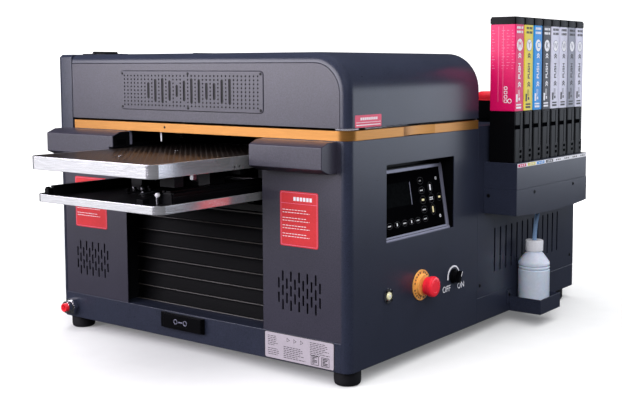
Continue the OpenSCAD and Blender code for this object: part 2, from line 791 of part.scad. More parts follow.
// screw heads on the covers
module cover_screws() color(steel) {
    for (y = [y_step + 12, y_back - 20]) {
        rod_x([x_right, y, base_top + 26], 4, head_h);
        rod_x([x_left - head_h, y, base_top + 26], 4, head_h);
    }
    for (y = [bay_y0 + 83, bay_y0 + 279]) rod_x([bay_x1, y, bay_split - 10], 4, head_h);
    rod_front([trim_screw_x, y_front, cover_top + 10], 2.5, 1);
    rod_front([x_right + 12, bay_y0, bay_split - 15], 4, head_h);
    rod_x([x_right + 3, rack_y0 - 7, rack_z0 + 38], 4, head_h);
    for (x = [x_left + 12, x_right - 12], z = [base_top + 20, rear_top - 20])
        rod_front([x, y_back + head_h, z], 4, head_h);
}

base_chassis();
feet();
right_cover();
left_cover();
front_panel_right();
front_panel_left();
chamber_walls();
sensor_housings();
gold_trim();
hinge_fixed();
rear_top_cover();
rear_side_right();
rear_panel();
power_inlet();
panel_housing();
panel_face();
estop_base();
switch_bezels();
ink_bay_frame();
ink_bay_cover();
bottle_tray();
waste_hose();
status_beacon();
label_plates();
latch_base();
fitting_body();
gantry_beam();
z_guide_rods();
capping_station();
cover_screws();
bellows();
hood_shell();
hood_front_panel();
perforated_plate();
hinge_moving();
z_platform();
lead_screw();
bed_base();
tray_band();
vacuum_bed();
bed_band();
print_carriage();
print_head();
estop_stem();
estop_head();
selector_knob();
push_button();
latch_slider();
fitting_collar();
sensor_pin();
cartridge(1);  // cartridge_1
cartridge(2);  // cartridge_2
cartridge(3);  // cartridge_3
cartridge(4);  // cartridge_4
cartridge(5);  // cartridge_5
cartridge(6);  // cartridge_6
cartridge(7);  // cartridge_7
cartridge(8);  // cartridge_8
waste_bottle();
bottle_cap();
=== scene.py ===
"""Looks of the desktop flatbed printer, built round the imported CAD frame.

Shapes are written in millimetres in the row frame: X right, Y to the back, Z up from the floor.
Shape.build() turns them into metres.
"""

from math import cos, radians, sin, tau

import bmesh
import bpy
from mathutils import Matrix, Vector


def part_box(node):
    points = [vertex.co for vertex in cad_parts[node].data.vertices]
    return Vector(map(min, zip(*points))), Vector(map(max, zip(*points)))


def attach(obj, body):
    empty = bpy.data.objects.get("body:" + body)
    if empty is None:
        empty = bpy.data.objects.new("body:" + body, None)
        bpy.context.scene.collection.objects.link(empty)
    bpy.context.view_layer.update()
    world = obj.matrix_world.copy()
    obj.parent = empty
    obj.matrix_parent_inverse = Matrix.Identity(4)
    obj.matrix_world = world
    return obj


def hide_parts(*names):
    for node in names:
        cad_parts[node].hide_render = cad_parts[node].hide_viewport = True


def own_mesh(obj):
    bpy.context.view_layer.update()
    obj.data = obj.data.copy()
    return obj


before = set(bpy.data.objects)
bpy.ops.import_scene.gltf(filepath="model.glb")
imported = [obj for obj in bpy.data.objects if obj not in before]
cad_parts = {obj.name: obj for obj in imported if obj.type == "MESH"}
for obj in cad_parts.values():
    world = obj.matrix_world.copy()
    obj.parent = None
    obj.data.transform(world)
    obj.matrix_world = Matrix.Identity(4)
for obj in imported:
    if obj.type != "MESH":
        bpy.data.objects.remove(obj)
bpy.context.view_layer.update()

MM = 0.001
UP = Vector((0, 0, 1))


def low(node):
    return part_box(node)[0] / MM


def high(node):
    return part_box(node)[1] / MM


def middle(node):
    return (low(node) + high(node)) / 2


# ---------- places taken from the frame ----------

x_left, x_right = low("base_chassis").x, high("base_chassis").x
y_front, y_back = low("base_chassis").y, high("base_chassis").y
y_step = high("right_cover").y
base_top, cover_top = high("base_chassis").z, high("right_cover").z
hood_bot = low("hood_shell").z
bay_x1 = high("ink_bay_frame").x
bay_y0, bay_y1 = low("ink_bay_frame").y, high("ink_bay_frame").y
bay_top, bay_split = high("ink_bay_frame").z, high("ink_bay_cover").z

# ---------- camera ----------

PHOTO_W, PHOTO_H = 622, 401
FOCAL_PX = 1041
AIM_X, AIM_Y = 345, 160
YAW, PITCH, ROLL = radians(36.37), radians(5.19), radians(0.09)
CAMERA_AT = (1.413, -1.804, 0.574)


def make_camera():
    data = bpy.data.cameras.new("camera")
    cam = bpy.data.objects.new("camera", data)
    bpy.context.scene.collection.objects.link(cam)
    data.sensor_width = 36
    data.lens = FOCAL_PX * data.sensor_width / PHOTO_W
    data.shift_x = (PHOTO_W / 2 - AIM_X) / PHOTO_W
    data.shift_y = (AIM_Y - PHOTO_H / 2) / PHOTO_W
    data.clip_start, data.clip_end = 0.05, 60
    ahead = Vector((-sin(YAW) * cos(PITCH), cos(YAW) * cos(PITCH), -sin(PITCH)))
    cam.location = CAMERA_AT
    cam.rotation_mode = "QUATERNION"
    turn = Matrix.Rotation(ROLL, 3, ahead)
    cam.rotation_quaternion = (turn @ ahead.to_track_quat("-Z", "Y").to_matrix()).to_quaternion()
    bpy.context.scene.camera = cam


make_camera()

# ---------- materials ----------


def material(
    name,
    color,
    rough,
    metal=0.0,
    speckle=0.12,
    grain=2.5,
    blotch=0.06,
    bump=0.0,
    stretch=(1, 1, 1),
    spread=0.05,
    **sockets,
):
    """Principled finish. speckle and blotch are shares of the colour that the fine and broad noise
    move; grain is the fine noise's size and bump its height, in mm. stretch squeezes the grain."""
    m = bpy.data.materials.new(name)
    m.use_nodes = True
    nodes, links = m.node_tree.nodes, m.node_tree.links
    shader = nodes["Principled BSDF"]
    place = nodes.new("ShaderNodeTexCoord")
    scale = nodes.new("ShaderNodeMapping")
    scale.inputs["Scale"].default_value = stretch
    links.new(place.outputs["Object"], scale.inputs["Vector"])
    fine = nodes.new("ShaderNodeTexNoise")
    fine.inputs["Scale"].default_value = 1 / (grain * MM)
    fine.inputs["Detail"].default_value = 3
    broad = nodes.new("ShaderNodeTexNoise")
    broad.inputs["Scale"].default_value = 14
    for noise in (fine, broad):
        links.new(scale.outputs["Vector"], noise.inputs["Vector"])

    def ramp(noise, share, base):
        r = nodes.new("ShaderNodeValToRGB")
        r.color_ramp.elements[0].position, r.color_ramp.elements[1].position = 0.3, 0.7
        for e, k in zip(r.color_ramp.elements, (1 - share, 1 + share)):
            e.color = [min(c * k, 1) for c in base] + [1]
        links.new(noise.outputs["Fac"], r.inputs["Fac"])
        return r.outputs["Color"]

    mix = nodes.new("ShaderNodeMix")
    mix.data_type, mix.blend_type = "RGBA", "MULTIPLY"
    mix.inputs["Factor"].default_value = 1
    links.new(ramp(fine, speckle, color), mix.inputs["A"])
    links.new(ramp(broad, blotch, (1 - blotch,) * 3), mix.inputs["B"])
    links.new(mix.outputs["Result"], shader.inputs["Base Color"])
    vary = nodes.new("ShaderNodeMapRange")
    vary.inputs["To Min"].default_value = max(rough - spread, 0.01)
    vary.inputs["To Max"].default_value = min(rough + spread, 1)
    links.new(fine.outputs["Fac"], vary.inputs["Value"])
    links.new(vary.outputs["Result"], shader.inputs["Roughness"])
    if bump:
        relief = nodes.new("ShaderNodeBump")
        relief.inputs["Distance"].default_value = bump * MM
        links.new(fine.outputs["Fac"], relief.inputs["Height"])
        links.new(relief.outputs["Normal"], shader.inputs["Normal"])
    shader.inputs["Metallic"].default_value = metal
    for socket, value in sockets.items():
        shader.inputs[socket.replace("_", " ")].default_value = value
    return m


PAINT = dict(speckle=0.34, grain=2.0, bump=0.06, spread=0.08)
PRINT = dict(speckle=0.05, grain=3.0, Specular_IOR_Level=0.3)
cover_paint = material("cover_paint", (0.022, 0.026, 0.045), 0.31, **PAINT)
front_paint = material("front_paint", (0.034, 0.032, 0.048), 0.33, **PAINT)
black_paint = material("black_paint", (0.005, 0.005, 0.006), 0.5, Specular_IOR_Level=0.25, **PAINT)
gold = material(
    "gold_anodised", (0.42, 0.19, 0.045), 0.32, 0.7, 0.1, 1.2, stretch=(0.05, 0.05, 1.6), bump=0.004
)
polished = material(
    "aluminium", (0.78, 0.78, 0.82), 0.17, 0.82, 0.12, 1.5, stretch=(0.04, 0.04, 1), bump=0.01
)
brown_plate = material(
    "brown_plate", (0.013, 0.009, 0.008), 0.34, 0.0, 0.25, 3.0, 0.2, bump=0.02, Specular_IOR_Level=0.08
)
steel = material("steel", (0.5, 0.5, 0.53), 0.28, 1.0, 0.1, 1.0, bump=0.004)
hole_rim = material("hole_rim", (0.07, 0.06, 0.055), 0.35, 0.2, 0.1, 1.0)
chrome = material("chrome", (0.8, 0.8, 0.82), 0.08, 1.0, 0.03, 4.0, spread=0.03)
rubber = material(
    "rubber", (0.009, 0.009, 0.011), 0.7, 0.0, 0.25, 1.2, bump=0.05, Specular_IOR_Level=0.3
)
black_plastic = material(
    "black_plastic", (0.0025, 0.0025, 0.0032), 0.34, 0.0, 0.2, 1.6, bump=0.02, Specular_IOR_Level=0.08
)
gloss_black = material(
    "gloss_black", (0.0015, 0.0015, 0.002), 0.12, 0.0, 0.2, 6.0, spread=0.03, Specular_IOR_Level=0.0
)
# red_plastic carries a small red emission: painted glow that makes all the red plastic parts, stop head and
# fitting collar among them, brighter than the lamps light them
red_plastic = material(
    "red_plastic", (0.9, 0.024, 0.045), 0.32, 0.0, 0.06, 2.0, bump=0.01,
    Emission_Color=(1, 0.03, 0.05, 1), Emission_Strength=0.1,
)
yellow_plastic = material("yellow_plastic", (0.9, 0.42, 0.1), 0.42, 0.0, 0.06, 2.0, bump=0.01)
lamp_cream = material(
    "button_cream", (0.8, 0.76, 0.5), 0.25, 0.0, 0.06, 2.0,
    Emission_Color=(1, 0.95, 0.6, 1), Emission_Strength=0.15,
)
cloth = material(
    "bellows_cloth", (0.002, 0.002, 0.0025), 0.6, 0.0, 0.3, 0.9, bump=0.06, Specular_IOR_Level=0.06
)
fold_edge = material("fold_edge", (0.05, 0.044, 0.04), 0.45, 0.0, 0.3, 1.2, bump=0.04)
bottle_plastic = material(
    "bottle_plastic", (0.7, 0.71, 0.82), 0.36, 0.0, 0.04, 5.0, Subsurface_Weight=0.25, Subsurface_Scale=0.02
)
cap_plastic = material("cap_plastic", (0.85, 0.85, 0.9), 0.42, 0.0, 0.04, 3.0, bump=0.01)
hose_plastic = material(
    "hose_plastic", (0.26, 0.4, 0.62), 0.15, 0.0, 0.08, 4.0, Transmission_Weight=0.25
)
label_red = material("label_red", (0.66, 0.034, 0.04), 0.4, spread=0.04, **PRINT)
label_pink = material("label_pink", (0.72, 0.09, 0.16), 0.4, spread=0.04, **PRINT)
label_white = material("label_white", (0.87, 0.86, 0.9), 0.4, 0.0, 0.04, 3.0, spread=0.04)
label_silver = material("label_silver", (0.5, 0.45, 0.5), 0.4, 0.1, 0.06, 2.0)
print_grey = material("print_grey", (0.03, 0.028, 0.032), 0.5, 0.0, 0.15, 2.0)
print_rose = material("print_rose", (0.8, 0.22, 0.38), 0.45, 0.0, 0.05, 3.0)
bezel_grey = material("bezel_grey", (0.2, 0.2, 0.27), 0.36, 0.3, 0.08, 2.0, bump=0.01)
screen_dark = material(
    "screen_dark", (0.0035, 0.004, 0.0045), 0.3, 0.0, 0.4, 4.0, Specular_IOR_Level=0.0
)
print_rail = material("rail_line", (0.09, 0.045, 0.05), 0.4, 0.0, 0.1, 2.0)
key_warm = material("key_warm", (0.95, 0.82, 0.42), 0.4, 0.0, 0.05, 2.0)
INKS = {
    "ink_magenta": (0.74, 0.006, 0.12),
    "ink_yellow": (0.8, 0.66, 0.05),
    "ink_cyan": (0.0, 0.27, 0.74),
    "ink_black": (0.022, 0.024, 0.036),
    "ink_white": (0.68, 0.67, 0.8),
    "ink_grey": (0.27, 0.28, 0.35),
}
inks = {name: material(name, color, 0.36, **PRINT) for name, color in INKS.items()}

# ---------- shapes ----------


def round_rect(u0, u1, v0, v1, r, steps=6):
    """Outline of a rectangle with round corners, anticlockwise."""
    corners = [(u1 - r, v1 - r, 0), (u0 + r, v1 - r, 90), (u0 + r, v0 + r, 180), (u1 - r, v0 + r, 270)]
    return [
        (u + r * cos(radians(a + 90 * k / steps)), v + r * sin(radians(a + 90 * k / steps)))
        for u, v, a in corners
        for k in range(steps + 1)
    ]


def ring(r, n=32, at=(0, 0), squeeze=1):
    return [(at[0] + r * cos(tau * k / n), at[1] + r * squeeze * sin(tau * k / n)) for k in range(n)]


def face_on_x(x, y, z, turn=0):
    """Matrix that stands lettering on a face looking along +X, turned clockwise by turn degrees."""
    stand = Matrix(((0, 0, 1, x), (1, 0, 0, y), (0, 1, 0, z), (0, 0, 0, 1)))
    return stand @ Matrix.Rotation(radians(turn), 4, "Z")


def on_axis(p, axis, w):
    """Point p of an outline, lifted into space by the value w on axis."""
    q = list(p)
    q.insert(axis, w)
    return q


def band(n, a, b):
    """Quads between two rings of n points, whose first points are numbers a and b."""
    return [[a + k, a + (k + 1) % n, b + (k + 1) % n, b + k] for k in range(n)]


class Shape:
    """Collects solids, then builds them as one piece.
    Each solid picks a material by its place in build()'s list."""

    def __init__(self):
        self.verts, self.faces, self.mats = [], [], []
        self.place = Matrix.Identity(4)

    def add(self, verts, faces, mat=0):
        base = len(self.verts)
        self.verts += [self.place @ Vector(v) for v in verts]
        self.faces += [[base + i for i in f] for f in faces]
        self.mats += [mat] * len(faces)

    def prism(self, outline, axis, a, b, mat=0):
        """outline runs in the two other axes, in X, Y, Z order, and is swept from a to b along axis."""
        n = len(outline)
        sides = band(n, 0, n)
        ends = [list(range(n))[::-1], list(range(n, 2 * n))]
        self.add([on_axis(p, axis, w) for w in (a, b) for p in outline], sides + ends, mat)

    def block(self, lo, hi, mat=0):
        outline = [(lo[0], lo[1]), (hi[0], lo[1]), (hi[0], hi[1]), (lo[0], hi[1])]
        self.prism(outline, 2, lo[2], hi[2], mat)

    def hoop(self, outer, inner, axis, a, b, mat=0):
        """Plate between two outlines with the same number of points."""
        n = len(outer)
        verts = [on_axis(p, axis, w) for outline in (outer, inner) for p in outline for w in (a, b)]
        faces = []
        for i in range(n):
            j = (i + 1) % n
            o0, o1, p0, p1 = 2 * i, 2 * i + 1, 2 * j, 2 * j + 1
            k = 2 * n
            faces += [[o0, p0, p1, o1], [k + o0, k + o1, k + p1, k + p0]]
            faces += [[o1, p1, k + p1, k + o1], [o0, k + o0, k + p0, p0]]
        self.add(verts, faces, mat)

    def pad(self, mid, side, away, rise, mat=0):
        """Low raised block, with half sizes side and away round mid, swept along rise."""
        quad = [mid - away - side, mid - away + side, mid + away + side, mid + away - side]
        walls = [[0, 1, 5, 4], [1, 2, 6, 5], [2, 3, 7, 6], [3, 0, 4, 7]]
        self.add([*quad, *(q + rise for q in quad)], [[3, 2, 1, 0], [4, 5, 6, 7], *walls], mat)

    def turned(self, profile, at, axis, n=40, mat=0, closed=False):
        """Solid of revolution. profile holds (radius, height) points; height runs along axis from at."""
        axis = Vector(axis).normalized()
        side = axis.orthogonal().normalized()
        other = axis.cross(side)
        rows, verts = [], []
        for r, h in profile:
            row = []
            for k in range(1 if r == 0 else n):
                a = tau * k / n
                row.append(len(verts))
                verts.append(Vector(at) + axis * h + (side * cos(a) + other * sin(a)) * r)
            rows.append(row)
        faces = []
        pairs = list(zip(rows, rows[1:])) + ([(rows[-1], rows[0])] if closed else [])
        for p, q in pairs:
            for k in range(n):
                m = (k + 1) % n
                quad = [p[k % len(p)], p[m % len(p)], q[m % len(q)], q[k % len(q)]]
                quad = [v for i, v in enumerate(quad) if v not in quad[:i]]
                if len(quad) > 2:
                    faces.append(quad)
        if not closed:
            faces += [row for row in (rows[0][::-1], rows[-1]) if len(row) > 2]
        self.add(verts, faces, mat)

    def tube(self, points, r, n=10, mat=0):
        """Round wire through points."""
        points = [Vector(p) for p in points]
        verts = []
        side = None
        for i, p in enumerate(points):
            way = (points[min(i + 1, len(points) - 1)] - points[max(i - 1, 0)]).normalized()
            side = way.orthogonal() if side is None else side - way * side.dot(way)
            side.normalize()
            up = way.cross(side)
            verts += [p + (side * cos(tau * k / n) + up * sin(tau * k / n)) * r for k in range(n)]
        faces = [face for row in range(len(points) - 1) for face in band(n, row * n, (row + 1) * n)]
        faces += [list(range(n))[::-1], list(range(len(verts) - n, len(verts)))]
        self.add(verts, faces, mat)

    def letters(self, words, size, place, depth=0.3, mat=0, bold=0.0):
        """Raised lettering, centred on place's origin in its XY plane."""
        curve = bpy.data.curves.new("letters", "FONT")
        curve.body, curve.size, curve.extrude, curve.resolution_u = words, size, depth, 3
        curve.align_x, curve.align_y = "CENTER", "CENTER"
        curve.offset = bold
        holder = bpy.data.objects.new("letters", curve)
        bpy.context.scene.collection.objects.link(holder)
        solved = holder.evaluated_get(bpy.context.evaluated_depsgraph_get())
        mesh = bpy.data.meshes.new_from_object(solved)
        verts = [place @ v.co for v in mesh.vertices]
        self.add(verts, [list(p.vertices) for p in mesh.polygons], mat)
        bpy.data.objects.remove(holder)
        bpy.data.meshes.remove(mesh)

    def build(self, name, body, materials, replaces=(), bevel=0.0, segments=2, sharp=32):
        bm = bmesh.new()
        verts = [bm.verts.new(v * MM) for v in self.verts]
        for f, mat in zip(self.faces, self.mats):
            try:
                face = bm.faces.new([verts[i] for i in f])
            except ValueError:
                continue
            face.material_index = mat
            face.smooth = True
        bmesh.ops.remove_doubles(bm, verts=bm.verts, dist=1e-7)
        bmesh.ops.recalc_face_normals(bm, faces=bm.faces)
        mesh = bpy.data.meshes.new(name)
        bm.to_mesh(mesh)
        bm.free()
        for m in materials:
            mesh.materials.append(m)
        obj = bpy.data.objects.new(name, mesh)
        bpy.context.scene.collection.objects.link(obj)
        soften(obj, bevel, segments, sharp)
        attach(obj, body)
        if replaces:
            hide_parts(*replaces)
        return obj


def soften(obj, bevel, segments=2, sharp=32):
    """Rounds the sharp edges by bevel mm, or only marks them sharp."""
    if bevel:
        round_off = obj.modifiers.new("round_off", "BEVEL")
        round_off.width = bevel * MM
        round_off.segments = segments
        round_off.limit_method = "ANGLE"
        round_off.angle_limit = radians(sharp)
        round_off.harden_normals = True
        round_off.use_clamp_overlap = False
    else:
        split = obj.modifiers.new("split", "EDGE_SPLIT")
        split.split_angle = radians(sharp)


def dress(node, finish, bevel=0.5, segments=2, sharp=32):
    """Gives a CAD node its finish and rounds its edges."""
    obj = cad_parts[node]
    obj.data.materials.clear()
    obj.data.materials.append(finish)
    if "custom_normal" in obj.data.attributes:
        obj.data.attributes.remove(obj.data.attributes["custom_normal"])
    for p in obj.data.polygons:
        p.use_smooth = True
        p.material_index = 0
    weld = obj.modifiers.new("weld", "WELD")
    weld.merge_threshold = 1e-6
    flat = obj.modifiers.new("flat", "DECIMATE")
    flat.decimate_type = "DISSOLVE"
    flat.angle_limit = radians(0.5)
    soften(obj, bevel, segments, sharp)


# ---------- CAD nodes that keep their shape ----------

# finish, size of the rounded edge, and the nodes that take them
DRESSED = (
    (cover_paint, 1.2, ("base_chassis",)),
    (cover_paint, 0.8, ("ink_bay_frame", "ink_bay_cover")),
    (cover_paint, 0.6, ("right_cover", "rear_side_right", "rear_panel", "bottle_tray")),
    (cover_paint, 0, ("left_cover", "rear_top_cover")),
    (front_paint, 1.4, ("sensor_housings",)),
    (front_paint, 0.5, ("hood_front_panel",)),
    (front_paint, 0.35, ("front_panel_right", "front_panel_left")),
    (black_paint, 0.6, ("bed_base",)),
    (black_paint, 0.5, ("z_platform",)),
    (black_paint, 0.4, ("chamber_walls", "hinge_fixed", "hinge_moving")),
    (black_plastic, 1.5, ("print_carriage",)),
    (black_plastic, 0.8, ("capping_station",)),
    (black_plastic, 0.6, ("power_inlet",)),
    (black_plastic, 0.5, ("panel_housing",)),
    (polished, 0.9, ("bed_band",)),
    (polished, 0.8, ("tray_band",)),
    (polished, 0.6, ("gantry_beam",)),
    (steel, 0.8, ("print_head",)),
    (steel, 0.4, ("z_guide_rods", "estop_stem")),
    (chrome, 0.7, ("fitting_body",)),
    (red_plastic, 0.6, ("fitting_collar",)),
    (cap_plastic, 0.4, ("sensor_pin",)),
)
for finish, bevel, nodes in DRESSED:
    for node in nodes:
        dress(node, finish, bevel)
dress("hood_shell", cover_paint, 0.8, sharp=40)
dress("gold_trim", gold, 0.7, sharp=12)

# ---------- perforated sheets ----------


def perforated(shape, axis, front, depth, us, vs, hole, radius, rim_w=0.0, *, cut):
    """Sheet of cells between the lines us and vs, facing the way from depth to front along axis.
    hole(i, j) says which cells hold a round blind hole, and cut(i, j) which are left out."""
    sides = 8
    for i, (u0, u1) in enumerate(zip(us, us[1:])):
        for j, (v0, v1) in enumerate(zip(vs, vs[1:])):
            if cut(i, j):
                continue
            um, vm = (u0 + u1) / 2, (v0 + v1) / 2
            edge = [(u1, vm), (u1, v1), (um, v1), (u0, v1), (u0, vm), (u0, v0), (um, v0), (u1, v0)]
            if not hole(i, j):
                shape.add([on_axis(p, axis, front) for p in edge], [list(range(sides))])
                continue
            sink = (front - depth) * 0.12
            loops = [(edge, front), (ring(radius, sides, (um, vm)), front)]
            if rim_w:
                loops.append((ring(radius - rim_w, sides, (um, vm)), front - sink))
            loops.append((ring(radius - rim_w, sides, (um, vm)), depth))
            base = len(shape.verts)
            for outline, w in loops:
                shape.verts += [Vector(on_axis(p, axis, w)) for p in outline]
            for m in range(len(loops) - 1):
                shape.faces += band(sides, base + sides * m, base + sides * (m + 1))
                # hole walls and floors take finish 1, black: painted shade for the dark inside of each hole
                shape.mats += [0 if m == 0 else 2 if rim_w and m == 1 else 1] * sides
            shape.faces.append([base + sides * (len(loops) - 1) + k for k in range(sides)])
            shape.mats.append(1)


def lines(a, b, count):
    return [a + (b - a) * k / count for k in range(count + 1)]


def perforated_plate():
    """The grille plate on the hood: rows of small holes round a band of slots."""
    lo, hi = low("perforated_plate"), high("perforated_plate")
    nx, nz, pitch = 37, 9, 10
    um, vm = (lo.x + hi.x) / 2, (lo.z + hi.z) / 2
    edge_z = 6
    us = lines(um - nx * pitch / 2, um + nx * pitch / 2, nx)
    vs = lines(lo.z + edge_z, hi.z - edge_z, nz)
    rise = vs[1] - vs[0]
    slots, slot_r = 12, 3.2
    # half height of each slot, and the number of cells that it takes the place of
    halves = {nx // 2 + 2 * k - slots + 1: 12 + 13 * abs(sin(radians(40 * k + 20))) for k in range(slots)}
    rows = {i: next(n for n in (3, 5, 7) if n * rise / 2 > half + 0.3) for i, half in halves.items()}
    s = Shape()
    front, back = lo.y, lo.y + 1.2

    def in_slot(i, j):
        return i in rows and abs(j - nz // 2) <= rows[i] // 2

    perforated(s, 1, front, back, us, vs, lambda i, j: True, 2.0, cut=in_slot)
    for i, half in halves.items():
        mid, span = (us[i] + us[i + 1]) / 2, rows[i] * rise / 2
        for side in (-1, 1):
            bend = [radians(a) for a in (90, 60, 30, 0)]
            top = [(mid + side * slot_r * cos(a), vm + half - slot_r + slot_r * sin(a)) for a in bend]
            mouth = top + [(u, 2 * vm - v) for u, v in top[::-1]]
            steps = [(mid + side * pitch / 2, vm - span + rise * k / 2) for k in range(2 * rows[i] + 1)]
            outline = mouth + [(mid, vm - span)] + steps + [(mid, vm + span)]
            s.add([(u, front, v) for u, v in outline], [list(range(len(outline)))])
            walls = [[2 * k, 2 * k + 1, 2 * k + 3, 2 * k + 2] for k in range(len(mouth) - 1)]
            s.add([(u, y, v) for u, v in mouth for y in (front, back)], walls, 1)
        # black block behind each slot: painted shade for the dark space behind the opening
        reach_x, reach_z = slot_r + 1, half + 1
        s.block((mid - reach_x, back - 0.05, vm - reach_z), (mid + reach_x, back + 0.1, vm + reach_z), 1)

    corner_r = 8
    rims = [
        (round_rect(lo.x + w, hi.x - w, lo.z + w, hi.z - w, corner_r - w), y)
        for w, y in ((0, hi.y), (0, front + 1), (1, front))
    ]
    inner = round_rect(us[0], us[-1], vs[0], vs[-1], 0.01)
    rims.append((inner, front))
    n = len(inner)
    quads = [face for m in range(len(rims) - 1) for face in band(n, m * n, (m + 1) * n)]
    s.add([(u, y, v) for outline, y in rims for u, v in outline], quads)
    # black ring round the plate's back: painted shadow in the gap between plate and hood
    gap_shadow_width = 0.7
    shadow = round_rect(lo.x - gap_shadow_width, hi.x + gap_shadow_width, lo.z - gap_shadow_width, hi.z + gap_shadow_width, corner_r + gap_shadow_width)
    s.hoop(shadow, rims[0][0], 1, hi.y - 0.1, hi.y + 0.2, 1)
    for x in (lo.x + 6, um, hi.x - 6):
        for z in (lo.z + 5.5, hi.z - 5.5):
            s.turned([(0, 0.9), (1.8, 0.9), (2.6, 0.5), (2.6, 0.0)], (x, front, z), (0, -1, 0), 16, 1)
    s.build("perforated_plate_look", "hood", [front_paint, black_paint], ["perforated_plate"])


def bed_sheet():
    """The brown bed sheet with its staggered holes and two countersunk screws."""
    lo, hi = low("vacuum_bed"), high("vacuum_bed")
    r, edge = 14, 8
    nx, ny = 44, 59
    us, vs = lines(lo.x + edge, hi.x - edge, nx), lines(lo.y + edge, hi.y - edge, ny)
    block_x, block_y = 2, 2
    cut_x, cut_y = us[block_x], vs[block_y]

    def in_corner(i, j):
        return (i < block_x or i >= nx - block_x) and (j < block_y or j >= ny - block_y)

    def in_half_cells(cells, a, b):
        """Lines and middles of the cells that lie from a to b."""
        halves = cells + [(p + q) / 2 for p, q in zip(cells, cells[1:])]
        return sorted(c for c in halves if min(a, b) - 1e-6 <= c <= max(a, b) + 1e-6)

    s = Shape()
    top = hi.z
    perforated(s, 2, top, top - 2.5, us, vs, lambda i, j: (i + j) % 2 == 0, 1.9, 0.7, cut=in_corner)
    cx = (lo.x + hi.x) / 2
    for sx in (-1, 1):
        xe, xi, xc = (lo.x, us[0], cut_x) if sx < 0 else (hi.x, us[-1], us[nx - block_x])
        for a, b in zip(vs[block_y : ny - block_y], vs[block_y + 1 : ny - block_y + 1]):
            m = (a + b) / 2
            strip = [(xe, a, top), (xi, a, top), (xi, m, top), (xi, b, top), (xe, b, top)]
            s.add(strip, [[0, 1, 2, 3, 4]])
        for sy in (-1, 1):
            ye, yi, yc = (lo.y, vs[0], cut_y) if sy < 0 else (hi.y, vs[-1], vs[ny - block_y])
            arc = [radians(a) for a in range(0, 91, 15)]
            bend = [(xe - sx * r + sx * r * cos(a), ye - sy * r + sy * r * sin(a)) for a in arc]
            xs_in = in_half_cells(us, xi, xc)[::-sx]
            ys_in = in_half_cells(vs, yi, yc)[::-sy]
            inner = [(xc, y) for y in ys_in] + [(x, yc) for x in xs_in[::-1]][1:]
            outline = [(xe, yc)] + bend + [(xc, ye)] + inner
            s.add([(x, y, top) for x, y in outline], [list(range(len(outline)))])
    for sy in (-1, 1):
        ye, yi = (lo.y, vs[0]) if sy < 0 else (hi.y, vs[-1])
        for a, b in zip(us[block_x : nx - block_x], us[block_x + 1 : nx - block_x + 1]):
            m = (a + b) / 2
            strip = [(a, ye, top), (a, yi, top), (m, yi, top), (b, yi, top), (b, ye, top)]
            s.add(strip, [[0, 1, 2, 3, 4]])
    rim = round_rect(lo.x, hi.x, lo.y, hi.y, r)
    n = len(rim)
    verts = [(x, y, z) for x, y in rim for z in (lo.z, top)]
    walls = [[2 * k, 2 * ((k + 1) % n), 2 * ((k + 1) % n) + 1, 2 * k + 1] for k in range(n)]
    s.add(verts, walls + [[2 * k for k in range(n)]])
    washer = [(4.6, 0.05), (4.6, 0.6), (3.6, 1.0), (2.2, 1.0), (2.2, 0.4), (0, 0.4)]
    for y in (lo.y + 90, lo.y + 235):
        s.turned(washer, (cx - 18, y, top), UP, 20, 3)
    # black_paint here is the painted shade inside the holes
    finishes = [brown_plate, black_paint, hole_rim, chrome]
    s.build("bed_sheet", "bed", finishes, ["vacuum_bed"])


perforated_plate()
bed_sheet()

# ---------- lift cover ----------


def bellows():
    """Pleated cover in front of the lift; each fold ends in a thin pale edge."""
    lo, hi = low("bellows"), high("bellows")
    folds = 7
    h = (hi.z - lo.z) / folds
    depth = hi.y - lo.y - 4
    heights = (0, 0.05, 0.12, 0.25, 0.4, 0.55, 0.7, 0.85, 1)
    s = Shape()
    for i in range(folds):
        z0 = lo.z + i * h
        bow = [(hi.y - 4 - depth * (1 - t) ** 0.6 * min(1, 9 * t), z0 + h * t) for t in heights]
        edge = [(lo.y - 0.2, z0 + 0.8), (hi.y - 6, z0 + 0.2), (hi.y - 6, z0 + 1.2), (lo.y + 0.4, z0 + 1.9)]
        s.prism(bow + [(y + 1.6, z) for y, z in bow[::-1]], 0, lo.x, hi.x, 0)
        s.prism(edge, 0, lo.x, hi.x, 1)
    s.block((lo.x, lo.y + 4, hi.z - 1.4), (hi.x, hi.y, hi.z), 1)
    obj = s.build("bellows_look", "chassis", [cloth, fold_edge], ["bellows"], sharp=50)
    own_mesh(obj)


bellows()

# ---------- control side ----------


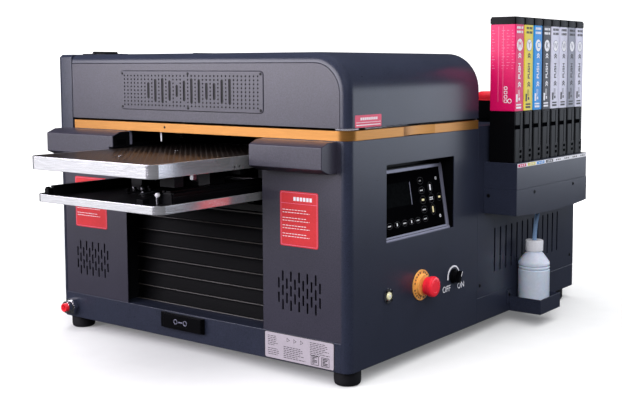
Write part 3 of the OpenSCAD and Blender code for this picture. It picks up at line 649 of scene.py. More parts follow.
def control_panel():
    """Leaning key panel behind the opening: glossy face, grey edge strips, display and ringed keys."""
    opening_y = low("panel_housing").y + 32
    lean, opening_z = radians(9), low("panel_housing").z + 8
    s = Shape()
    s.place = Matrix.Translation((x_right - 8, opening_y, opening_z - 1)) @ Matrix.Rotation(-lean, 4, "Y")
    s.prism(round_rect(-28, 226, 8, 125, 2), 0, -8, 0, 0)
    s.block((-8, -28, -3.5), (-1.5, 238, 134), 1)
    s.block((-2, -28, 126), (1.5, 226, 132), 2)
    s.block((-2, 227, 1), (1.5, 231, 132), 2)
    s.block((-2, 234, -1), (0.5, 238, 134), 2)
    s.block((-2, -28, 4.6), (1.5, 231, 8), 2)
    s.block((-2, -28, -2), (2.2, 238, 3.6), 2)
    s.prism(round_rect(-6, 110, 61, 106, 1.5), 0, -0.2, 0.4, 3)
    # grey bar along the display's right edge: painted highlight on the display frame
    s.block((0, 112.5, 60), (0.5, 114, 104), 2)

    def key(u, w, wide, tall, mark=None, mark_mat=4):
        turns = [tau * k / 28 for k in range(28)]
        rims = [[(u + (wide - t) * cos(a), w + (tall - t) * sin(a)) for a in turns] for t in (0, 0.5)]
        s.hoop(*rims, 0, 0, 0.35, 5)
        if mark:
            du, dw = mark[0] / 2, mark[1] / 2
            s.prism(round_rect(u - du, u + du, w - dw, w + dw, 0.6, 3), 0, 0, 0.35, mark_mat)

    def caption(u, w, wide, rows=1):
        """Rows of four short bars in place of a word."""
        for k in range(rows):
            for m in range(4):
                a, z = u - wide / 2 + wide * m / 4, w - 3.6 * k
                s.block((0, a, z - 1.4), (0.35, a + wide / 4 - 1, z + 0.6 + 0.5 * (m % 2)), 4)

    key(152, 103, 11, 7)
    caption(152, 103, 7)
    key(153, 84, 11, 7)
    caption(153, 84, 11)
    key(154, 65, 11, 8, (9, 4), 6)
    key(154, 46, 11, 7)
    caption(154, 46, 12)
    key(185, 87, 9, 11, (5, 12))
    key(185, 65, 11, 9)
    caption(185, 67, 13, 2)
    key(186, 43, 9, 11, (5, 12), 6)
    key(215, 65, 9, 8, (8, 4), 6)
    for w in (103, 27.5):
        s.prism(ring(3.2, 12, (210, w)), 0, 0, 0.35, 4)
        s.prism(ring(1.6, 12, (210, w)), 0, 0.3, 0.5, 0)
    for k, u in enumerate((28, 54, 80, 104, 127, 154)):
        key(u, 28, 10, 6, (3, 6) if k in (1, 3) else None)
        if k not in (1, 3):
            caption(u, 28, 11)
    finishes = [gloss_black, black_plastic, bezel_grey, screen_dark, label_white, print_grey, key_warm]
    s.build("control_panel", "chassis", finishes, ["panel_face"], bevel=0.15, segments=1)


def side_controls():
    """Stop, dial and button on the right side, with their rings and the dial's legend."""
    out = Vector((1, 0, 0))

    def on_side(node):
        spot = middle(node)
        return Vector((x_right, spot.y, spot.z))

    def lug(s, at, r, a, side, away, rise, mat):
        """Block at the angle a on a circle of radius r round at."""
        along, across = Vector((0, cos(a), sin(a))), Vector((0, -sin(a), cos(a)))
        s.pad(at + along * r, across * side, along * away, out * rise, mat)

    stop, dial, push = on_side("estop_head"), on_side("selector_knob"), on_side("push_button")
    plate = high("estop_base").y - stop.y
    s = Shape()
    profile = [(plate, 0), (plate, 1.8), (plate - 0.7, 2.5), (22, 2.5), (21, 3.2), (21, 7.2), (20.2, 8)]
    s.turned(profile + [(6.05, 8), (6.05, -30), (11, -30), (11, 0)], stop, out, 64, 0, closed=True)
    for k in range(24):
        if k % 6:
            lug(s, stop + out * 2.5, 25.7, tau * k / 24, 1.1 + 0.5 * (k % 2), 1.9, 0.25, 1)
    s.build("stop_plate", "chassis", [yellow_plastic, print_grey], ["estop_base"])

    s = Shape()
    head = [(6.05, 22), (6.05, 14), (17, 14), (17.5, 14.6), (17.5, 21.4), (18.6, 22), (19.7, 23), (20, 24.5)]
    head += [(20, 29), (19.6, 31), (18.6, 32.6), (17, 33.5), (12, 33.8), (0, 34)]
    s.turned(head, stop, out, 64, 0)
    for k in range(3):
        points = []
        for m in range(7):
            a = tau * k / 3 + 0.17 * m
            points.append(stop + Vector((34 - 0.5 * (m / 6) ** 2, 11.5 * cos(a), 11.5 * sin(a))))
        s.tube(points, 0.45, 6, 0)
    s.build("stop_head_look", "stop_head", [red_plastic], ["estop_head"])

    s = Shape()
    dial_ring = [(15, 0), (15, 2.4), (13.6, 4), (12.2, 4), (12.2, 3.2), (4.05, 3.2), (4.05, -24)]
    push_ring = [(14, 0), (14, 2), (12.4, 3.5), (9.4, 3.5), (8.2, 2.2), (7.05, 2.2), (7.05, -24)]
    s.turned(dial_ring + [(11, -24), (11, 0)], dial, out, 48, 0, closed=True)
    s.turned(push_ring + [(9.5, -24), (9.5, 0)], push, out, 48, 1, closed=True)
    for k in range(4):
        lug(s, push + out * 2.4, 11.4, tau * (k + 0.5) / 4, 2.3, 2.2, 1.2, 0)
    s.build("switch_rings", "chassis", [black_plastic, chrome], ["switch_bezels"])

    s = Shape()
    s.turned([(7, -18), (7, 3.6), (6.2, 4.6), (3.4, 5), (0, 5)], push, out, 40, 0)
    s.turned([(2.4, 4.95), (2.4, 5.4), (1.6, 5.6), (0, 5.6)], push, out, 20, 1)
    s.build("push_button_look", "button", [lamp_cream, cap_plastic], ["push_button"])

    s = Shape()
    s.turned([(4, -20), (4, 4.3), (12, 4.3), (12, 9.3), (11.2, 10.3), (0, 10.3)], dial, out, 48, 0)
    s.place = Matrix.Translation(dial) @ Matrix.Rotation(radians(-30), 4, "X")
    s.prism([(-4, -12), (4, -12), (3, 12), (-3, 12)], 0, 10, 18, 0)
    s.block((17.9, -0.7, 1), (18.2, 0.7, 11.5), 1)
    s.block((10.3, -0.7, 11.9), (18.1, 0.7, 12.2), 1)
    finishes = [black_plastic, label_white]
    s.build("selector_look", "dial", finishes, ["selector_knob"], bevel=0.5)

    s = Shape()
    arc = [radians(a) for a in range(15, 196, 10)]
    outer = [(dial.y + 24 * cos(a), dial.z + 22 * sin(a)) for a in arc]
    inner = [
        (dial.y + (22.5 - 3 * sin(a / 2)) * cos(a), dial.z + (20.5 - 3 * sin(a / 2)) * sin(a)) for a in arc
    ]
    s.prism(outer + inner[::-1], 0, x_right, x_right + 0.25, 0)
    for words, dy, dz in (("OFF", -27, -23), ("ON", 30, -24)):
        s.letters(words, 18, face_on_x(x_right, dial.y + dy, dial.z + dz), 0.25, 0)
    s.build("dial_legend", "chassis", [label_white])


control_panel()
side_controls()

# ---------- bay, cartridges and bottle ----------

INK_ORDER = ["ink_magenta", "ink_yellow", "ink_cyan", "ink_black"]
INK_ORDER += ["ink_white", "ink_white", "ink_grey", "ink_white"]
INK_LETTERS = "MYCKWWVV"


def side_print(s, lo, hi, cap_z):
    """Print on the first cartridge's broad side: two rules, columns of short lines, and plain loops."""
    side = lo.y + 0.6
    back = side - 0.25
    for x in (lo.x + 20, lo.x + 31):
        s.block((x, back, cap_z - 160), (x + 0.8, side, cap_z - 4), 4)
    for column in (0, 2, 3, 4):
        x = lo.x + 5 + 11.5 * column
        for row in range(14):
            length = max(4.5 + 3 * sin(row * 2.1 + column), 2)
            z = cap_z - 12 - 6 * row
            s.block((x, back, z - 1), (x + length, side, z), 4)
    centre = (hi.x - 13, cap_z - 158)
    s.hoop(ring(5, 24, centre), ring(3.4, 24, centre), 1, back, side, 2)
    x0, x1 = lo.x + 34, lo.x + 42
    for k in range(4):
        z0 = cap_z - 162 + 9 * k
        outer = round_rect(x0, x1, z0, z0 + 7, 2, 3)
        inner = round_rect(x0 + 1.4, x1 - 1.4, z0 + 1.4, z0 + 5.6, 1.2, 3)
        s.hoop(outer, inner, 1, back, side, 2)


def cartridge(number):
    """One ink cartridge: black cap and foot, a label in the ink's colour with its marks, and windows."""
    node = f"cartridge_{number}"
    lo, hi = low(node), high(node)
    ink = INK_ORDER[number - 1]
    pale = ink in ("ink_white", "ink_grey", "ink_yellow")
    mark = 3 if pale else 2
    cap_z, label_z = hi.z - 16, hi.z - 195
    y0, y1 = lo.y, hi.y
    ym = (y0 + y1) / 2
    s = Shape()
    s.prism(round_rect(lo.x + 1, hi.x - 0.6, y0 + 0.6, y1 - 0.6, 2, 3), 2, label_z, cap_z, 1)
    s.prism(round_rect(lo.x, hi.x, y0, y1, 2.5, 3), 2, cap_z + 1.5, hi.z - 3, 0)
    s.prism(round_rect(lo.x + 1.5, hi.x - 1.5, y0 + 1.5, y1 - 1.5, 2, 3), 2, cap_z, hi.z, 0)
    s.prism(round_rect(lo.x + 1, hi.x - 1, y0 + 1, y1 - 1, 1.5, 3), 2, lo.z, label_z - 0.6, 0)
    for a, b in ((y0 + 5, y1 - 17), (y1 - 14, y1 - 4)):
        s.block((hi.x - 1.2, a, lo.z + 72), (hi.x - 0.2, b, label_z - 4), 0)
    s.block((hi.x - 1.4, y0 + 3, lo.z + 141), (hi.x + 0.1, y1 - 15, lo.z + 150), 5)
    s.block((hi.x - 3, y1 - 20, lo.z + 76), (hi.x, y1 - 3, lo.z + 102), 0)
    for z in (lo.z + 80, lo.z + 91):
        s.block((hi.x - 1, y1 - 17, z), (hi.x + 0.1, y1 - 7, z + 6), 5)

    face = hi.x - 0.6

    def stamp(y, z, wide, tall):
        s.block((face, y, z), (face + 0.25, y + wide, z + tall), mark)

    for row in range(2):
        for k in range(4):
            stamp(y0 + 7 + 7 * k, cap_z - 9 - 9 * row, 5.5 if (k + number) % 3 else 4, 5)
    cz = cap_z - 42
    s.prism(ring(12.6, 28, (ym, cz)), 0, face, face + 0.2, 4 if pale else 2)
    if pale:
        s.prism(ring(11.4, 28, (ym, cz)), 0, face + 0.1, face + 0.3, 2)
    letter = INK_LETTERS[number - 1]
    s.letters(letter, 19, face_on_x(face + 0.2, ym, cz), 0.25, 4 if pale else 1)
    s.letters("PUSH", 14, face_on_x(face, ym, cap_z - 96, 90), 0.2, mark, 0.35)
    for z in (cap_z - 66, cap_z - 61, cap_z - 126, cap_z - 121):
        tip = [(ym, z + 3), (ym + 6, z - 1), (ym + 6, z - 4), (ym, z), (ym - 6, z - 4), (ym - 6, z - 1)]
        s.prism(tip, 0, face, face + 0.25, mark)
    small_print = [(6, 152, 7, 16), (17, 154, 6, 6), (15, 142, 1.2, 14), (20, 142, 1.2, 14)]
    for y, drop, wide, tall in small_print + [(7, 172, 22, 4), (7, 166, 22, 3)]:
        stamp(y0 + y, cap_z - drop - tall / 2, wide, tall)
    if number == 1:
        side_print(s, lo, hi, cap_z)
    accent = print_rose if number == 1 else bezel_grey
    finishes = [black_plastic, inks[ink], label_white, print_grey, accent, gloss_black]
    s.build(f"ink_{number}_look", f"ink_{number}", finishes, [node])


def bottle():
    """Bottle with two pressed-in rings, and its ribbed cap."""
    lo, hi = low("waste_bottle"), high("waste_bottle")
    at = Vector(((lo.x + hi.x) / 2, (lo.y + hi.y) / 2, lo.z))
    r, h = (hi.x - lo.x) / 2, hi.z - 10 - lo.z
    outer = [(0, 1.5), (r - 9, 1.5), (r - 7, 0), (r - 4, 0), (r - 1.2, 1.2), (r, 4), (r, h - 46)]
    groove = [(0, 0), (0.5, 0.6), (1.4, 1.6), (1.4, 2.4), (0.5, 3.4), (0, 4)]
    for base in (h - 42, h - 35):
        outer += [(r - sink, base + up) for sink, up in groove]
    outer += [(r, h - 27), (r - 0.6, h - 24.5), (r - 2.2, h - 22)]
    outer += [(21, h - 6), (18.6, h - 3.5), (17.4, h - 2), (17, h), (17, h + 10)]
    inner = [(15, h + 10), (15, h - 4), (r - 4, h - 25), (r - 2, h - 30), (r - 2, 6), (r - 5, 2.6), (0, 2.6)]
    s = Shape()
    s.turned(outer + inner, at, UP, 64, 0)
    s.build("waste_bottle_look", "bottle", [bottle_plastic], ["waste_bottle"])

    floor, tall = low("bottle_cap").z - lo.z, high("bottle_cap").z - low("bottle_cap").z
    n, rib = 160, 0.55
    seat_r, bore_r, disc = 17.05, 8.3, 11
    rows = []
    for z, lift in ((0, 0.0), (0.6, 0.6), (tall - 2.5, 0.6), (tall - 0.8, 0.2), (tall, -1.0)):
        ridge, dip = min(rib, max(lift, 0)), min(lift, 0)
        rows.append([(19.4 + dip + (ridge if k % 4 < 2 else 0), z) for k in range(n)])
    rows += [[(radius, z)] * n for radius, z in ((bore_r, tall), (bore_r, disc), (seat_r, disc), (seat_r, 0))]
    verts = []
    for row in rows:
        for k, (radius, z) in enumerate(row):
            verts.append(at + Vector((radius * cos(tau * k / n), radius * sin(tau * k / n), floor + z)))
    s = Shape()
    s.add(verts, [f for j in range(len(rows)) for f in band(n, j * n, (j + 1) % len(rows) * n)])
    s.build("bottle_cap_look", "bottle", [cap_plastic], ["bottle_cap"])


def waste_hose():
    """Hose from the bay's floor down through the cap into the bottle, on a curve between the CAD solid's top
    and end heights.
    """
    spot, cap_top = middle("waste_bottle"), high("bottle_cap").z
    hose_top, hose_end = high("waste_hose").z, low("waste_hose").z
    stations = [Vector((x_right + 45, spot.y + 9, hose_top))]
    stations += [Vector((spot.x, spot.y, z)) for z in (cap_top + 39, cap_top + 19, hose_end)]
    count = 24
    points = []
    for k in range(count + 1):
        t = k / count
        weights = ((1 - t) ** 3, 3 * (1 - t) ** 2 * t, 3 * (1 - t) * t * t, t**3)
        points.append(sum((p * w for p, w in zip(stations, weights)), Vector()))
    data = bpy.data.curves.new("waste_hose_look", "CURVE")
    data.dimensions, data.use_fill_caps = "3D", True
    data.bevel_depth, data.bevel_resolution = 5 * MM, 5
    spline = data.splines.new("POLY")
    spline.points.add(count)
    for p, q in zip(spline.points, points):
        p.co = (*(q * MM), 1)
    data.materials.append(hose_plastic)
    obj = bpy.data.objects.new("waste_hose_look", data)
    bpy.context.scene.collection.objects.link(obj)
    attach(obj, "chassis")
    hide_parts("waste_hose")


for number in range(1, 9):
    cartridge(number)
bottle()
waste_hose()

# ---------- labels ----------


def text_rows(s, x0, x1, z, rows, pitch, y, mat):
    """Rows of short bars that read as small print on a face looking along -Y."""
    for k in range(rows):
        run, word = x0, 0
        end = x0 + (x1 - x0) * (0.45 + 0.5 * abs(sin(k * 1.7 + 0.6)))
        while run < end:
            word += 1
            length = 3.5 + 3 * abs(sin(word * 2.3 + k))
            mid = z - pitch * k
            s.block((run, y - 0.2, mid - 0.55), (min(run + length, end), y, mid + 0.55), mat)
            run += length + 1.6


def frame_line(s, x0, x1, z0, z1, r, wide, y0, y1, mat):
    """Thin printed border along the edge of a label that looks along -Y."""
    inner = round_rect(x0 + wide, x1 - wide, z0 + wide, z1 - wide, r[1], r[2])
    s.hoop(round_rect(x0, x1, z0, z1, r[0], r[2]), inner, 1, y0, y1, mat)


def labels():
    s = Shape()
    t = 0.5
    panel = y_front + 1
    for x0, x1, z0, z1 in ((x_right - 156, x_right - 68, 246, 347), (x_left + 51, x_left + 151, 230, 338)):
        s.prism(round_rect(x0, x1, z0, z1, 4), 1, panel - t, panel, 0)
        edges = (x0 + 2, x1 - 2, z0 + 2, z1 - 2)
        frame_line(s, *edges, (3, 2.6, 6), 0.6, panel - t - 0.15, panel - t + 0.05, 1)
        for k in range(6):
            a = x0 + (x1 - x0) * 0.36 + k * 7.4
            s.block((a, panel - t - 0.2, z1 - 17), (a + 5.4, panel - t, z1 - 10), 2)
        s.block((x0 + 3, panel - t - 0.15, z1 - 22.4), (x1 - 3, panel - t, z1 - 21.8), 1)
        for z in (z1 - 34, z1 - 49, z1 - 63, z1 - 78):
            text_rows(s, x0 + 6, x1 - 6, z, 2, 5, panel - t, 2)
    s.build("front_labels", "chassis", [label_red, print_rose, label_white], ["label_plates"])

    s = Shape()
    x0, x1, z0, z1 = x_right - 195, x_right - 32, 30, base_top - 1
    s.prism(round_rect(x0, x1, z0, z1, 4), 1, y_front - 0.45, y_front, 0)
    frame_line(s, x0, x1, z0, z1, (4, 3, 6), 1.2, y_front - 0.6, y_front, 1)
    face = y_front - 0.45
    text_rows(s, x0 + 8, x0 + 34, z1 - 8, 6, 3.4, face, 1)
    text_rows(s, x0 + 8, x0 + 40, z1 - 32, 4, 3.6, face, 1)
    text_rows(s, x0 + 46, x0 + 100, z1 - 24, 7, 3.4, face, 1)
    text_rows(s, x0 + 108, x0 + 156, z1 - 7, 8, 3.2, face, 1)
    for k in range(3):
        s.prism(ring(4.6, 3, (x0 + 56 + 16 * k, z1 - 11)), 1, face - 0.2, face, 1)
        s.prism(ring(3.2, 3, (x0 + 56 + 16 * k, z1 - 11)), 1, face - 0.3, face, 0)
    for k in range(2):
        a = x0 + 110 + 24 * k
        frame_line(s, a, a + 18, z0 + 4, z0 + 21, (0.5, 0.4, 1), 1, face - 0.2, face, 1)
        for m in range(5):
            z, length = z0 + 6.4 + 2.7 * m, 5 + 7 * abs(sin(m + k))
            s.block((a + 3, face - 0.2, z), (a + 3 + length, face, z + 1.6), 1)
    s.build("rating_plate", "chassis", [label_silver, print_grey])

    s = Shape()
    x, z0, z1 = bay_x1, bay_top - 9, bay_top - 1
    step = (bay_y1 - bay_y0 - 4) / 8
    for k in range(8):
        a = bay_y0 + 2 + step * k
        s.block((x, a, z0), (x + 0.4, a + step, z1), 4)
        if k < 4:
            s.block((x + 0.3, a + 3, z0 + 1), (x + 0.5, a + step - 5, z1 - 1), k)
        for m in range(3):
            b = a + step * (0.25 + 0.2 * m)
            s.block((x + 0.35, b, z0 + 2.4), (x + 0.6, b + 4.5, z1 - 2.4), 4 if k < 4 else 5)
    finishes = [inks[ink] for ink in INK_ORDER[:4]] + [label_white, print_grey]
    s.build("colour_strip", "chassis", finishes)

    s = Shape()
    y0, y1, z0, z1 = y_front + 19, y_front + 100, hood_bot + 1, hood_bot + 23
    s.prism(round_rect(y0, y1, z0, z1, 2), 0, x_right, x_right + 0.4, 0)
    for k in range(9):
        a = y0 + 16 + 6 * k
        s.block((x_right + 0.3, a, z1 - 9), (x_right + 0.55, a + 4.2, z1 - 4.5), 1)
    s.block((x_right + 0.3, y0 + 3, z0 + 8.5), (x_right + 0.55, y1 - 3, z0 + 9.3), 1)
    s.block((x_right + 0.3, y0 + 3, z0 + 3.5), (x_right + 0.55, y1 - 3, z0 + 5), 1)
    s.build("hood_label", "hood", [label_pink, label_white])


labels()

# ---------- small parts ----------


def screw_head(s, at, way, r=4.0, tall=1.4, mat=0, dark=1):
    s.turned([(r, 0), (r, tall * 0.3), (r * 0.85, tall * 0.8), (r * 0.55, tall)], at, way, 24, mat)
    # gloss-black hexagon in place of the socket: painted shade in the recess
    s.turned([(r * 0.5, tall - 0.2), (r * 0.5, tall + 0.02), (0, tall + 0.02)], at, way, 6, dark)


def cover_screws():
    s = Shape()
    right, left, front, back = (1, 0, 0), (-1, 0, 0), (0, -1, 0), (0, 1, 0)
    for y in (y_step + 12, y_back - 20):
        screw_head(s, (x_right, y, base_top + 26), right)
        screw_head(s, (x_left, y, base_top + 26), left)
    for y in (bay_y0 + 83, bay_y0 + 279):
        screw_head(s, (bay_x1, y, bay_split - 10), right)
    screw_head(s, (x_left + 329, y_front, cover_top + 10), front, 2.5, 0.8)
    screw_head(s, (x_right + 12, bay_y0, bay_split - 15), front)
    tray = low("bottle_tray")
    screw_head(s, (x_right + 3, tray.y + 7, tray.z + 38), right)
    for x in (x_left + 12, x_right - 12):
        for z in (base_top + 20, cover_top - 15):
            screw_head(s, (x, y_back, z), back)
    s.build("cover_screws_look", "chassis", [black_paint, gloss_black], ["cover_screws"])


def feet():
    s = Shape()
    lo, hi = low("feet"), high("feet")
    r = 25
    foot = [(0, 0), (r - 8, 0), (r - 4, 0.8), (r - 1.4, 3), (r - 0.3, 6.5), (r, 9), (r, hi.z)]
    for x in (lo.x + r, hi.x - r):
        for y in (lo.y + r, hi.y - r):
            s.turned(foot, (x, y, 0), UP, 40)
    s.build("feet_look", "chassis", [rubber], ["feet"])


def latch():
    lo, hi = low("latch_base"), high("latch_base")
    s = Shape()
    s.block(lo, hi, 0)
    s.build("latch_plate", "chassis", [black_plastic], ["latch_base"], bevel=0.8)
    lo, hi = low("latch_slider"), high("latch_slider")
    s = Shape()
    y = lo.y
    s.block((lo.x, y + 0.8, lo.z), hi, 0)
    mid_x, mid_z = (lo.x + hi.x) / 2 - 4, (lo.z + hi.z) / 2 + 1
    oval = round_rect(mid_x - 24, mid_x + 24, mid_z - 8, mid_z + 8, 7.9)
    frame_outline = round_rect(lo.x + 1, hi.x - 1, lo.z + 1, hi.z - 1, 2)
    s.hoop(frame_outline, oval, 1, y, y + 1, 0)
    for dx in (-13, 13):
        s.hoop(ring(5.5, 20, (mid_x + dx, mid_z)), ring(3.6, 20, (mid_x + dx, mid_z)), 1, y, y + 1, 1)
    s.block((mid_x - 6, y, mid_z - 1.2), (mid_x + 6, y + 1, mid_z + 1.2), 1)
    finishes = [black_plastic, bezel_grey]
    s.build("latch_slide_look", "latch", finishes, ["latch_slider"], bevel=0.4)


def beacon():
    lo, hi = low("status_beacon"), high("status_beacon")
    at = ((lo.x + hi.x) / 2, (lo.y + hi.y) / 2, lo.z)
    r, tall = (hi.x - lo.x) / 2, hi.z - lo.z
    body = [(0, 0), (r, 0), (r, 2), (r - 1.2, 3), (r - 1.2, 7), (r, 8)]
    body += [(r, tall - 22), (r - 1, tall - 20), (0, tall - 20)]
    s = Shape()
    s.turned(body, at, UP, 56, 1)
    lens = [(r - 1.6, tall - 20), (r - 1.2, tall - 18.6), (r - 2, tall - 17.8), (r - 1.6, tall - 16.6)]
    dome = [radians(a) for a in range(0, 91, 10)]
    lens += [(r - 12 + 10.4 * cos(a), tall - 12 + 12 * sin(a)) for a in dome] + [(0, tall)]
    s.turned([(0, tall - 20)] + lens, at, UP, 56, 0)
    s.build("beacon_look", "chassis", [red_plastic, black_plastic], ["status_beacon"])


def lead_screw():
    lo, hi = low("lead_screw"), high("lead_screw")
    at = Vector(((lo.x + hi.x) / 2, (lo.y + hi.y) / 2, lo.z))
    s = Shape()
    n, pitch = 24, 2.5
    rows = int((hi.z - lo.z) / 0.8)
    verts = []
    for j in range(rows + 1):
        z = (hi.z - lo.z) * j / rows
        for k in range(n):
            wave = (z / pitch - 4 * k / n) % 1
            r = 6.0 - 0.9 * min(1, max(0, 2.4 * abs(wave - 0.5) * 2 - 0.7))
            verts.append(at + Vector((r * cos(tau * k / n), r * sin(tau * k / n), z)))
    faces = [face for j in range(rows) for face in band(n, j * n, (j + 1) * n)]
    faces += [list(range(n))[::-1], list(range(rows * n, rows * n + n))]
    s.add(verts, faces)
    s.build("lead_screw_look", "screw", [steel], ["lead_screw"], sharp=60)


def bed_details():
    """Grooved jig rail with its ball end, edge strip, brackets and small parts on the tray."""
    tray_lo, tray_hi = low("tray_band"), high("tray_band")
    bed_lo, bed_hi = low("bed_band"), high("bed_band")
    s = Shape()
    deck = tray_hi.z - 6
    x0, y0 = tray_hi.x - 60, tray_lo.y + 66
    rail_side = [(20, 20), (28, 20), (28, 15), (24, 15), (24, 12), (28, 12), (28, 0), (20, 0)]
    rail_top = [(0, 20), (0, 24), (5, 24), (5, 21), (9, 21), (9, 24), (20, 24), (20, 20)]
    for outline in (rail_side, rail_top):
        s.prism([(x0 + u, deck + w) for u, w in outline], 1, y0, tray_hi.y - 104, 0)
    for z in (deck + 4, deck + 12):
        s.block((x0 - 1.4, y0 + 8, z), (x0, tray_hi.y - 110, z + 1.4), 3)
    s.block((x0 - 2, y0 - 3, deck), (x0 + 26, y0, deck + 18), 0)
    ball = (x0 - 3, y0 - 9, deck + 16)
    s.turned([(0, -4.6), (2.8, -3.8), (4.6, -1), (4.8, 1), (3.6, 3.6), (0, 4.8)], ball, UP, 24, 2)
    s.turned([(3, 0), (3, 13)], (ball[0], ball[1], deck), UP, 12, 1)
    s.block((x0 - 34, y0 - 30, deck), (x0 - 18, y0 - 14, deck + 9), 0)
    s.block((tray_lo.x + 5, tray_lo.y + 18, deck), (tray_lo.x + 16, tray_lo.y + 30, deck + 14), 0)
    s.block((tray_lo.x + 6, tray_lo.y + 19, deck + 14), (tray_lo.x + 12, tray_lo.y + 27, deck + 17), 0)
    for k in range(8):
        x, y = x0 - 190 + 7.5 * k, tray_lo.y + 150 + 11 * (k % 3)
        s.block((x, y, deck), (x + 5, y + 7, deck + 6 + 3 * (k % 3)), 1 if k in (1, 4, 6) else 0)
    for k in range(3):
        start = (x0 - 150 + 30 * k, tray_lo.y + 120, deck + 2)
        crest = (x0 - 132 + 30 * k, tray_lo.y + 140, deck + 7)
        s.tube([start, crest, (x0 - 118 + 26 * k, tray_lo.y + 152, deck + 3)], 1.4, 8, 1 if k == 1 else 0)
    s.block((bed_hi.x - 34, bed_lo.y + 50, bed_lo.z - 18), (bed_hi.x + 2, bed_lo.y + 72, bed_lo.z), 0)
    s.block((bed_hi.x - 30, bed_lo.y + 120, bed_lo.z - 12), (bed_hi.x - 22, bed_lo.y + 128, bed_lo.z), 1)
    s.block((bed_hi.x - 40, bed_lo.y + 225, bed_lo.z - 10), (bed_hi.x - 4, bed_lo.y + 238, bed_lo.z), 0)
    for y in (bed_lo.y + 205, bed_lo.y + 218):
        s.turned([(0, 0.9), (1.6, 0.9), (2.2, 0)], (bed_hi.x, y, bed_lo.z + 6), (1, 0, 0), 14, 1)
    finishes = [black_plastic, steel, label_white, print_rail]
    s.build("bed_details", "bed", finishes, bevel=0.4)


def housing_ends():
    """Black end plates and glossy black panes on the sensor housings beside the opening, painted shade for
    their shadowed ends, and the post behind the left one.
    """
    lo, hi = low("sensor_housings"), high("sensor_housings")
    z0, z1 = lo.z, hi.z
    nose = high("bed_band").z + 4
    full = [(0, 0), (0, 56), (-24, 56), (-45, 48), (-45, 9), (-24, 0)]
    clipped = [(0, nose - z0), (0, 56), (-24, 56), (-45, 48), (-45, nose - z0)]
    s = Shape()
    for x, way, outline, sill in ((x_left + 225, 1, clipped, nose + 3), (x_right - 192, -1, full, z0 + 16)):
        # black end plate and glossy black pane: painted shade on the housing ends beside the opening
        plate = [(y_front + 0.5 + y * 0.97, z0 + 1 + w * 0.965) for y, w in outline]
        shade_pane = [(y_front - 34, sill), (y_front - 10, sill), (y_front - 10, z1 - 16), (y_front - 34, z1 - 16)]
        s.prism(plate, 0, x, x + 0.8 * way, 0)
        s.prism(shade_pane, 0, x, x + way, 1)
    s.block((x_left + 211, y_front + 6, nose + 2), (x_left + 221, y_front + 12, cover_top), 2)
    s.build("housing_ends", "chassis", [black_plastic, gloss_black, bezel_grey], bevel=0.3)


def rear_parts():
    """Pins in the mains inlet, and a dark sheet behind the rear vents, painted shade that closes the view
    through them.
    """
    lo = low("power_inlet")
    s = Shape()
    for dx in (18, 25, 32):
        s.block((lo.x + dx - 1, lo.y + 10, lo.z + 12), (lo.x + dx + 1, lo.y + 24, lo.z + 18), 0)
    s.build("inlet_pins", "chassis", [chrome], bevel=0.3)
    s = Shape()
    # dark sheet inside the back wall: painted shade for the unlit interior behind the vents
    s.block((-240, y_back - 14, 212), (240, y_back - 10, 318), 0)
    s.build("vent_shade_sheet", "chassis", [rubber], bevel=0.3)


cover_screws()
feet()
latch()
beacon()
lead_screw()
bed_details()
housing_ends()
rear_parts()

# ---------- stage, light ----------


def studio_white():
    """Matt white that turns into plain white light on the backdrop."""
    grey = (0.74, 0.74, 0.74)
    m = material("studio_white", grey, 0.9, speckle=0.01, blotch=0.01, grain=40, Specular_IOR_Level=0.0)
    nodes, links = m.node_tree.nodes, m.node_tree.links
    shader = nodes["Principled BSDF"]
    reach = nodes.new("ShaderNodeVectorMath")
    reach.operation = "LENGTH"
    links.new(nodes["Texture Coordinate"].outputs["Object"], reach.inputs["Vector"])
    level = nodes.new("ShaderNodeMapRange")
    level.interpolation_type = "SMOOTHSTEP"
    for socket, value in (("From Min", 1.1), ("From Max", 2.4), ("To Min", 0.12), ("To Max", 1.2)):
        level.inputs[socket].default_value = value
    links.new(reach.outputs["Value"], level.inputs["Value"])
    links.new(level.outputs["Result"], shader.inputs["Emission Strength"])
    shader.inputs["Emission Color"].default_value = (1, 1, 1, 1)
    return m


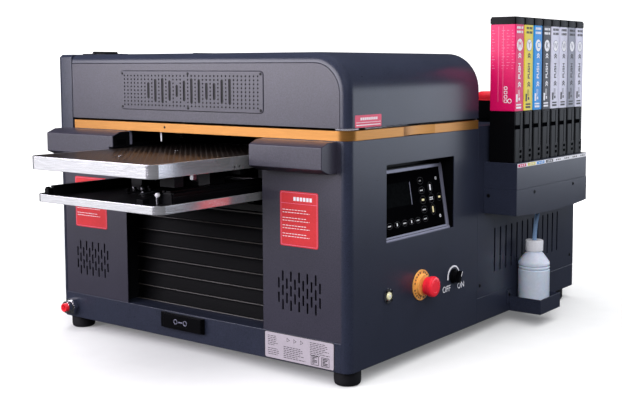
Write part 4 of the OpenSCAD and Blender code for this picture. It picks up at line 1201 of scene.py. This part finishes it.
def area_light(name, at, aim, size, power, color=(1, 1, 1), glossy=True):
    data = bpy.data.lights.new(name, "AREA")
    data.shape, data.size, data.size_y = "RECTANGLE", size[0], size[1]
    data.energy, data.color = power, color
    obj = bpy.data.objects.new(name, data)
    bpy.context.scene.collection.objects.link(obj)
    obj.location = at
    obj.rotation_mode = "QUATERNION"
    obj.rotation_quaternion = (Vector(aim) - Vector(at)).to_track_quat("-Z", "Y")
    obj.visible_glossy = glossy
    obj.visible_camera = False


def make_stage():
    """Pale floor that curves up into a backdrop all round, seen by the camera only."""
    flat, bend, height, n = 6000, 1500, 6000, 96
    arc = [radians(a) for a in range(0, 91, 10)]
    line = [(1000, 0)] + [(flat + bend * sin(a), bend * (1 - cos(a))) for a in arc] + [(flat + bend, height)]
    verts = [Vector((r * cos(tau * k / n), r * sin(tau * k / n), z)) * MM for r, z in line for k in range(n)]
    faces = [face for j in range(len(line) - 1) for face in band(n, (j + 1) * n, j * n)]
    mesh = bpy.data.meshes.new("studio_floor")
    mesh.from_pydata(verts, [], [list(range(n)), *faces])
    for p in mesh.polygons:
        p.use_smooth = True
    mesh.materials.append(studio_white())
    floor = bpy.data.objects.new("studio_floor", mesh)
    bpy.context.scene.collection.objects.link(floor)
    floor.visible_glossy = False
    floor.visible_diffuse = False
    floor.visible_shadow = False

    world = bpy.data.worlds.new("studio")
    world.use_nodes = True
    sky = world.node_tree.nodes["Background"]
    sky.inputs["Color"].default_value = (0.9, 0.93, 1, 1)
    sky.inputs["Strength"].default_value = 0.05
    bpy.context.scene.world = world
    bpy.context.scene.view_settings.view_transform = "Standard"

    area_light("overhead", (0.1, 0.1, 3.2), (0, 0, 0), (4.5, 4.5), 190, glossy=False)
    area_light("front_left", (-1.12, -2.4, 1.0), (0.0, -0.2, 0.6), (2.5, 1.2), 74, (0.94, 0.9, 1))
    area_light("low_left", (-1.9, -2.15, 0.12), (-0.05, -0.55, 0.36), (1.8, 0.5), 2.6)
    area_light("right_back", (2.1, 2.0, 0.55), (0.3, 0.1, 0.4), (2.8, 0.9), 21, (0.82, 0.88, 1))
    area_light("fill", (2.4, -2.4, 2.0), (0.3, -0.1, 0.3), (2.0, 2.0), 105, (0.97, 0.97, 1), glossy=False)


make_stage()
